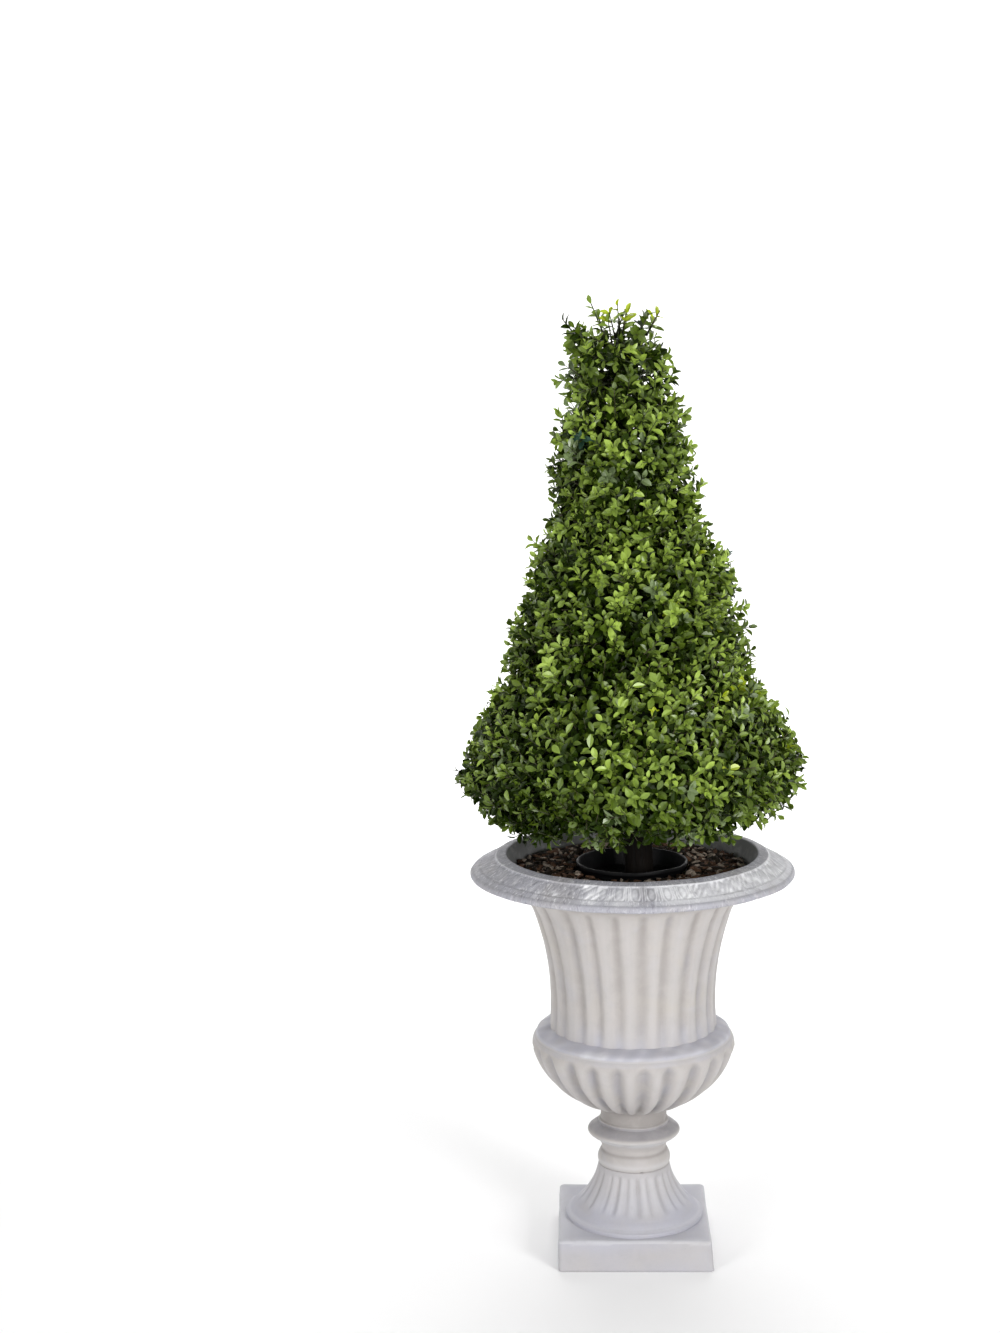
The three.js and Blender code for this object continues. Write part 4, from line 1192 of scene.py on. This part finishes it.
class TOPIARY_OT_bark(bpy.types.Operator):
    """Lays loose bark chips on a bed round the nursery pot"""

    bl_idname = "topiary.bark"
    bl_label = "Bark chips"

    def execute(self, context):
        filling = context.scene.topiary_filling
        chance = np.random.default_rng(17)
        crumbs = wood_finish("bark_bed", shaded(filling.bark, 0.5))
        add_piece("bark_bed", self.bed(), crumbs, "bark", "bark_chippings")
        for name, share, tint, lift in CHIPS:
            mesh = self.chips("bark_" + name, int(share * filling.chips), filling.chip_length, chance)
            wood = wood_finish("bark_" + name, shaded(filling.bark, tint, lift))
            add_piece("bark_chips_" + name, mesh, wood, "bark", "bark_chippings")
        refinish("urn_filler", rough_finish("loose_filler", (0.16, 0.13, 0.10), 90.0, 0.003))
        return {"FINISHED"}

    @staticmethod
    def bed():
        """The layer under the loose chips, uneven on top."""
        outline = Outline(BARK.pot_side - 0.0035, BARK.floor)
        outline.line(HOLLOW.shoulder - 0.004, BARK.floor + 0.003, 4)
        outline.bend(BARK.wall_side - 0.004, BARK.floor + 0.012, BARK.wall_side, BARK.bed - 0.002, 5)
        outline.line(BARK.pot_side, BARK.bed - 0.002, 24)

        def crumbs(radius, height, turn):
            on_top = (height > BARK.bed - 0.004) & (radius > BARK.pot_side) & (radius < BARK.wall_side)
            return BARK.bump * on_top * ripple(around(radius, height, turn), 0.012, 15), 0.0, 0.0, 0.0

        return turned("bark_bed", outline, 160, crumbs, closed=True)

    @staticmethod
    def chips(name, count, length, chance):
        """Flat splinters with uneven outlines and rubbed edges, lying this way and that."""
        sides = 7
        radius = np.sqrt(chance.uniform((BARK.pot_side + 0.006) ** 2, (BARK.wall_side - 0.007) ** 2, count))
        turn = chance.uniform(0.0, 2.0 * math.pi, count)
        piled = 0.0035 * np.exp(-(radius - BARK.pot_side) / 0.016)
        lift = piled + np.abs(chance.normal(scale=0.0020, size=count))
        centre = np.stack([radius * np.cos(turn), radius * np.sin(turn), BARK.bed + lift], axis=1)
        size = length * chance.lognormal(0.0, 0.28, count)
        room = np.minimum(radius - BARK.pot_side, BARK.wall_side - radius)
        half = np.stack([np.minimum(0.55 * size, 0.012), np.minimum(0.19 * size, 0.005),
                         0.10 * size * chance.uniform(0.7, 1.4, count)], axis=1)
        half[:, 0] = np.minimum(half[:, 0], np.maximum(room + 0.001, 0.004))
        corners = full_turn(sides)
        wobble = chance.uniform(0.72, 1.18, (count, sides))
        rings = []
        for level, shrink in ((-1.0, 0.74), (-0.35, 1.0), (0.45, 0.97), (1.0, 0.70)):
            wave = shrink * wobble * (1.0 + 0.06 * chance.normal(size=(count, sides)))
            high = level * (1.0 + 0.22 * chance.normal(size=(count, sides)))
            rings.append(np.stack([np.cos(corners) * wave, np.sin(corners) * wave, high], axis=-1))
        local = np.stack(rings, axis=1) * half[:, None, None]
        yaw = chance.uniform(0.0, 2.0 * math.pi, count)
        tilt, roll = chance.normal(scale=0.24, size=count), chance.normal(scale=0.30, size=count)
        spins = [Matrix.Rotation(a, 3, "Z") @ Matrix.Rotation(b, 3, "Y") @ Matrix.Rotation(c, 3, "X")
                 for a, b, c in zip(yaw, tilt, roll)]
        points = np.einsum("nij,nrsj->nrsi", np.array(spins, float), local) + centre[:, None, None]
        grid = np.arange(4 * sides).reshape(4, sides)
        walls, caps = walls_between(grid[:-1], grid[1:]), np.stack([grid[0][::-1], grid[3]])
        return new_mesh(name, points.reshape(-1, 3),
                        *(many(faces, count, 4 * sides) for faces in (walls, caps)))


class TOPIARY_OT_pot(bpy.types.Operator):
    """Makes the black nursery pot and finishes the cement that holds the pole in it"""

    bl_idname = "topiary.pot"
    bl_label = "Nursery pot"

    def execute(self, context):
        add_piece("nursery_pot_shell", self.shell(), plastic_finish(context.scene.topiary_filling),
                  "black_plastic", "nursery_pot")
        refinish("pot_ballast", rough_finish("set_cement", (0.009, 0.0085, 0.008), 160.0, 0.0016))
        return {"FINISHED"}

    @staticmethod
    def shell():
        outside = POT.rim - POT.lip
        outline = Outline(0.01, POT.bottom).line(POT.foot - 0.002, POT.bottom, 3)
        outline.bend(POT.foot, POT.bottom, POT.foot + 0.0003, POT.bottom + 0.002, 4)
        lip_foot = POT.top - POT.lip_height
        outline.line(outside - 0.0006, lip_foot, 26)
        outline.bend(POT.rim - 0.0004, lip_foot, POT.rim, lip_foot + 0.0016, 5)
        outline.line(POT.rim, POT.top - 0.0018, 3)
        outline.bend(POT.rim, POT.top, POT.rim - 0.0016, POT.top, 6)
        outline.bend(outside - 0.0016, POT.top, outside - 0.0018, POT.top - 0.0022, 6)
        outline.line(POT.foot - POT.wall, POT.bottom + POT.wall, 26)
        outline.line(0.01, POT.bottom + POT.wall, 3)

        def ribs(radius, height, turn):
            # The lip mark is strongest at the left and right: a painted highlight line along the lip, with
            # scuffs.
            lip = hump(radius, outside + 0.0004, 0.0008) * (height > POT.top - 0.0008)
            return 0.0 * turn, 0.0, 0.0, lip * (0.2 + 0.8 * np.abs(np.sin(turn)))

        return turned("nursery_pot_shell", outline, 192, ribs)


class TOPIARY_OT_trunk(bpy.types.Operator):
    """Grows the one pole that carries the crown, with furrowed bark"""

    bl_idname = "topiary.trunk"
    bl_label = "Trunk"

    def execute(self, context):
        filling = context.scene.topiary_filling
        heights = np.linspace(POLE.foot, POLE.top, 420)[:, None]
        radii = np.interp(heights, (BALLAST_TOP, POLE.slim, POLE.top),
                          (POLE.base, 0.6 * POLE.base, 0.3 * POLE.tip))
        turn = full_turn(84)
        upright = np.stack(np.broadcast_arrays(np.cos(turn), np.sin(turn), heights), axis=-1)
        warped = upright * (1.0, 1.0, 3.0)
        warped[..., :2] += 0.35 * np.stack([ripple(upright, 0.12, 51), ripple(upright, 0.12, 52)], axis=-1)
        furrow = 1.0 - smooth(np.abs(ripple(warped, 0.34, 53, 9)) / 0.42)
        fine = 1.0 - smooth(np.abs(ripple(warped * (1.0, 1.0, 2.0), 0.16, 54, 9)) / 0.5)
        depth = filling.ridge * (0.75 * furrow + 0.25 * fine) * radii / POLE.base
        rings = upright.copy()
        rings[..., :2] *= (radii - depth)[..., None]
        mesh = skin("trunk_bark", leaning(rings))
        mark(mesh, "groove", np.append(furrow.ravel(), (0.0, 0.0)))
        add_piece("trunk_bark", mesh, pole_finish(filling), "pole", "trunk_pole")
        return {"FINISHED"}


class TOPIARY_OT_crown(bpy.types.Operator):
    """Grows the clipped crown: boughs from the pole, twigs, and leaves in pairs along every sprig"""

    bl_idname = "topiary.crown"
    bl_label = "Crown"

    def execute(self, context):
        crown = context.scene.topiary_crown
        sprigs = Sprigs(crown)
        points, tones, shown = pairs_of_leaves(sprigs, crown)
        for number, (tone, _, colour, gloss) in enumerate(TONES):
            self.leaves(tone, leaf_finish(tone, colour, gloss), leaning(points[tones == number]))
        stems = stem_finish()
        roots, tips = leaning(sprigs.roots[shown]), leaning((sprigs.tips - 0.004 * sprigs.headings)[shown])
        thick = SPRIG.twig * np.where(sprigs.placed[shown], 1.6, 1.0)
        twigs = tubes("crown_twigs", roots, tips, thick)
        add_piece("crown_twigs", twigs, stems, "leaves", "crown_foliage")
        add_piece("crown_boughs", self.boughs(), stems, "leaves", "crown_foliage")
        # The heart is near black: painted shade deep inside the crown.
        heart = rough_finish("painted_shade_heart", (0.004, 0.007, 0.002), 60.0, 0.004)
        add_piece("crown_heart", heart_mesh(), heart, "leaves", "crown_foliage")
        return {"FINISHED"}

    @staticmethod
    def leaves(tone, material, points):
        """Joins leaves of one tone into pieces of a size that stays easy to handle."""
        pieces = max(1, math.ceil(len(points) / PIECE_LEAVES))
        for number, batch in enumerate(np.array_split(points, pieces), start=1):
            name = f"leaves_{tone}_{number}"
            mesh = new_mesh(name, batch.reshape(-1, 3), many(LEAF_FACES, len(batch), len(LEAF_ALONG)))
            ends = np.empty(2 * len(mesh.edges), np.int32)
            mesh.edges.foreach_get("vertices", ends)
            crease = np.isin(ends.reshape(-1, 2) % len(LEAF_ALONG), LEAF_RIB).all(axis=1)
            mesh.attributes.new("sharp_edge", "BOOLEAN", "EDGE").data.foreach_set("value", crease)
            add_piece(name, mesh, material, "leaves", "crown_foliage")

    @staticmethod
    def boughs():
        """Moulded boughs that leave the pole in tiers and reach out to where the sprigs start."""
        starts, ends = [], []
        chance = np.random.default_rng(61)
        for tier, height in enumerate(np.arange(BOUGH.lowest, POLE.top, BOUGH.tier)):
            count = 9 if height < 0.9 else 7
            for k in range(count):
                turn = 2.0 * math.pi * (k + 0.5 * (tier % 2) + chance.uniform(-0.15, 0.15)) / count
                out = np.array([math.sin(turn), -math.cos(turn), 0.0])
                reach = max(0.02, float(crown_radius(np.array(height + 0.02))) - SPRIG.length)
                trunk = float(np.interp(height, (BALLAST_TOP, POLE.top), (POLE.base, POLE.tip)))
                starts.append(0.7 * trunk * out + (0.0, 0.0, height))
                ends.append(reach * out + (0.0, 0.0, height + 0.02 + BOUGH.rise * reach))
        starts, ends = leaning(np.array(starts)), leaning(np.array(ends))
        return tubes("crown_boughs", starts, ends, np.full(len(starts), BOUGH.radius), 8, 0.5)


class TOPIARY_OT_stage(bpy.types.Operator):
    """Sets up the pale floor, the soft lights and the camera"""

    bl_idname = "topiary.stage"
    bl_label = "Stage"

    def execute(self, context):
        stage = context.scene.topiary_stage
        self.floor(stage)
        world = bpy.data.worlds.new("soft_surround")
        world.use_nodes = True
        surround = world.node_tree.nodes["Background"].inputs
        surround["Color"].default_value = (1.0, 1.0, 1.0, 1.0)
        surround["Strength"].default_value = stage.surround
        context.scene.world = world
        context.scene.view_settings.view_transform = "Standard"
        for name, place, target, width, setting, share in LAMPS:
            self.lamp(name, place, target, width, share * getattr(stage, setting))
        self.camera(context)
        return {"FINISHED"}

    @staticmethod
    def floor(stage):
        """A floor that sweeps up into a backdrop, on all sides too far off to cut the light."""
        finish = Finish("pale_sweep", stage.floor, 0.9, 0.1)
        shade = finish.noise(2.0, finish.place(), 2.0)
        finish.colour(finish.mix(finish.ramp(shade, 0.3, 0.7, 0.0, 0.3), stage.floor,
                                 shaded(stage.floor, 0.985)))
        turn = np.linspace(0.0, 0.5 * math.pi, 16)
        depths = np.concatenate([(-SWEEP.half,), SWEEP.back + SWEEP.bend * np.sin(turn),
                                 (SWEEP.back + SWEEP.bend,)])
        heights = np.concatenate([(0.0,), SWEEP.bend * (1.0 - np.cos(turn)), (SWEEP.top,)])
        points = np.concatenate([np.column_stack([np.full(len(depths), side), depths, heights])
                                 for side in (-SWEEP.half, SWEEP.half)])
        here = np.arange(len(depths) - 1)
        faces = np.stack([here, here + len(depths), here + len(depths) + 1, here + 1], axis=1)
        sweep = put_in_scene("pale_sweep", new_mesh("pale_sweep", points, faces))
        sweep.data.materials.append(finish.material)

    @staticmethod
    def lamp(name, place, target, size, power):
        light = bpy.data.lights.new(name, "AREA")
        light.shape = "DISK"
        light.size = size
        light.energy = power
        lamp = put_in_scene(name, light)
        lamp.location = place
        aim = Vector(target) - Vector(place)
        lamp.rotation_euler = aim.to_track_quat("-Z", "Y").to_euler()

    @staticmethod
    def camera(context):
        """The camera stands a little to the left of square with the plinth and looks slightly down."""
        yaw = CAMERA.yaw + CAMERA.plinth_turn
        level = math.cos(CAMERA.pitch)
        forward = Vector((math.sin(yaw) * level, math.cos(yaw) * level, -math.sin(CAMERA.pitch)))
        right = forward.cross(Vector((0.0, 0.0, 1.0))).normalized()
        up = right.cross(forward)
        tilted_right = right * math.cos(CAMERA.roll) + up * math.sin(CAMERA.roll)
        tilted_up = up * math.cos(CAMERA.roll) - right * math.sin(CAMERA.roll)
        data = bpy.data.cameras.new("studio_camera")
        data.sensor_fit = "VERTICAL"
        data.sensor_height = 36.0
        data.lens = CAMERA.lens
        camera = put_in_scene("studio_camera", data)
        turn = Matrix((tilted_right, tilted_up, -forward)).transposed().to_4x4()
        place = Vector((-CAMERA.distance * math.sin(CAMERA.plinth_turn),
                        -CAMERA.distance * math.cos(CAMERA.plinth_turn), CAMERA.height))
        camera.matrix_world = Matrix.Translation(place) @ turn
        context.scene.camera = camera


class TOPIARY_PT_panel(bpy.types.Panel):
    """Lists the topiary's settings and the steps that build it"""

    bl_label = "Boxwood topiary"
    bl_idname = "TOPIARY_PT_panel"
    bl_space_type = "VIEW_3D"
    bl_region_type = "UI"
    bl_category = "Topiary"

    def draw(self, context):
        for group, steps in GROUPS:
            box = self.layout.box()
            settings = getattr(context.scene, group)
            for name in settings.__annotations__:
                box.prop(settings, name)
            for step in steps:
                box.operator(step.bl_idname)


GROUPS = (
    ("topiary_urn", (TOPIARY_OT_pedestal, TOPIARY_OT_vessel)),
    ("topiary_filling", (TOPIARY_OT_bark, TOPIARY_OT_pot, TOPIARY_OT_trunk)),
    ("topiary_crown", (TOPIARY_OT_crown,)),
    ("topiary_stage", (TOPIARY_OT_stage,)),
)
SETTINGS = {
    "topiary_urn": TOPIARY_PG_urn,
    "topiary_filling": TOPIARY_PG_filling,
    "topiary_crown": TOPIARY_PG_crown,
    "topiary_stage": TOPIARY_PG_stage,
}
CLASSES = (*SETTINGS.values(), *(step for _, steps in GROUPS for step in steps), TOPIARY_PT_panel)


def register():
    for kind in CLASSES:
        bpy.utils.register_class(kind)
    for name, kind in SETTINGS.items():
        setattr(bpy.types.Scene, name, PointerProperty(type=kind))


def unregister():
    for name in SETTINGS:
        delattr(bpy.types.Scene, name)
    for kind in reversed(CLASSES):
        bpy.utils.unregister_class(kind)


def main():
    register()
    bpy.ops.topiary.stage()
    bpy.ops.topiary.pedestal()
    bpy.ops.topiary.vessel()
    bpy.ops.topiary.bark()
    bpy.ops.topiary.pot()
    bpy.ops.topiary.trunk()
    bpy.ops.topiary.crown()
    bpy.context.view_layer.update()


if __name__ == "__main__":
    main()
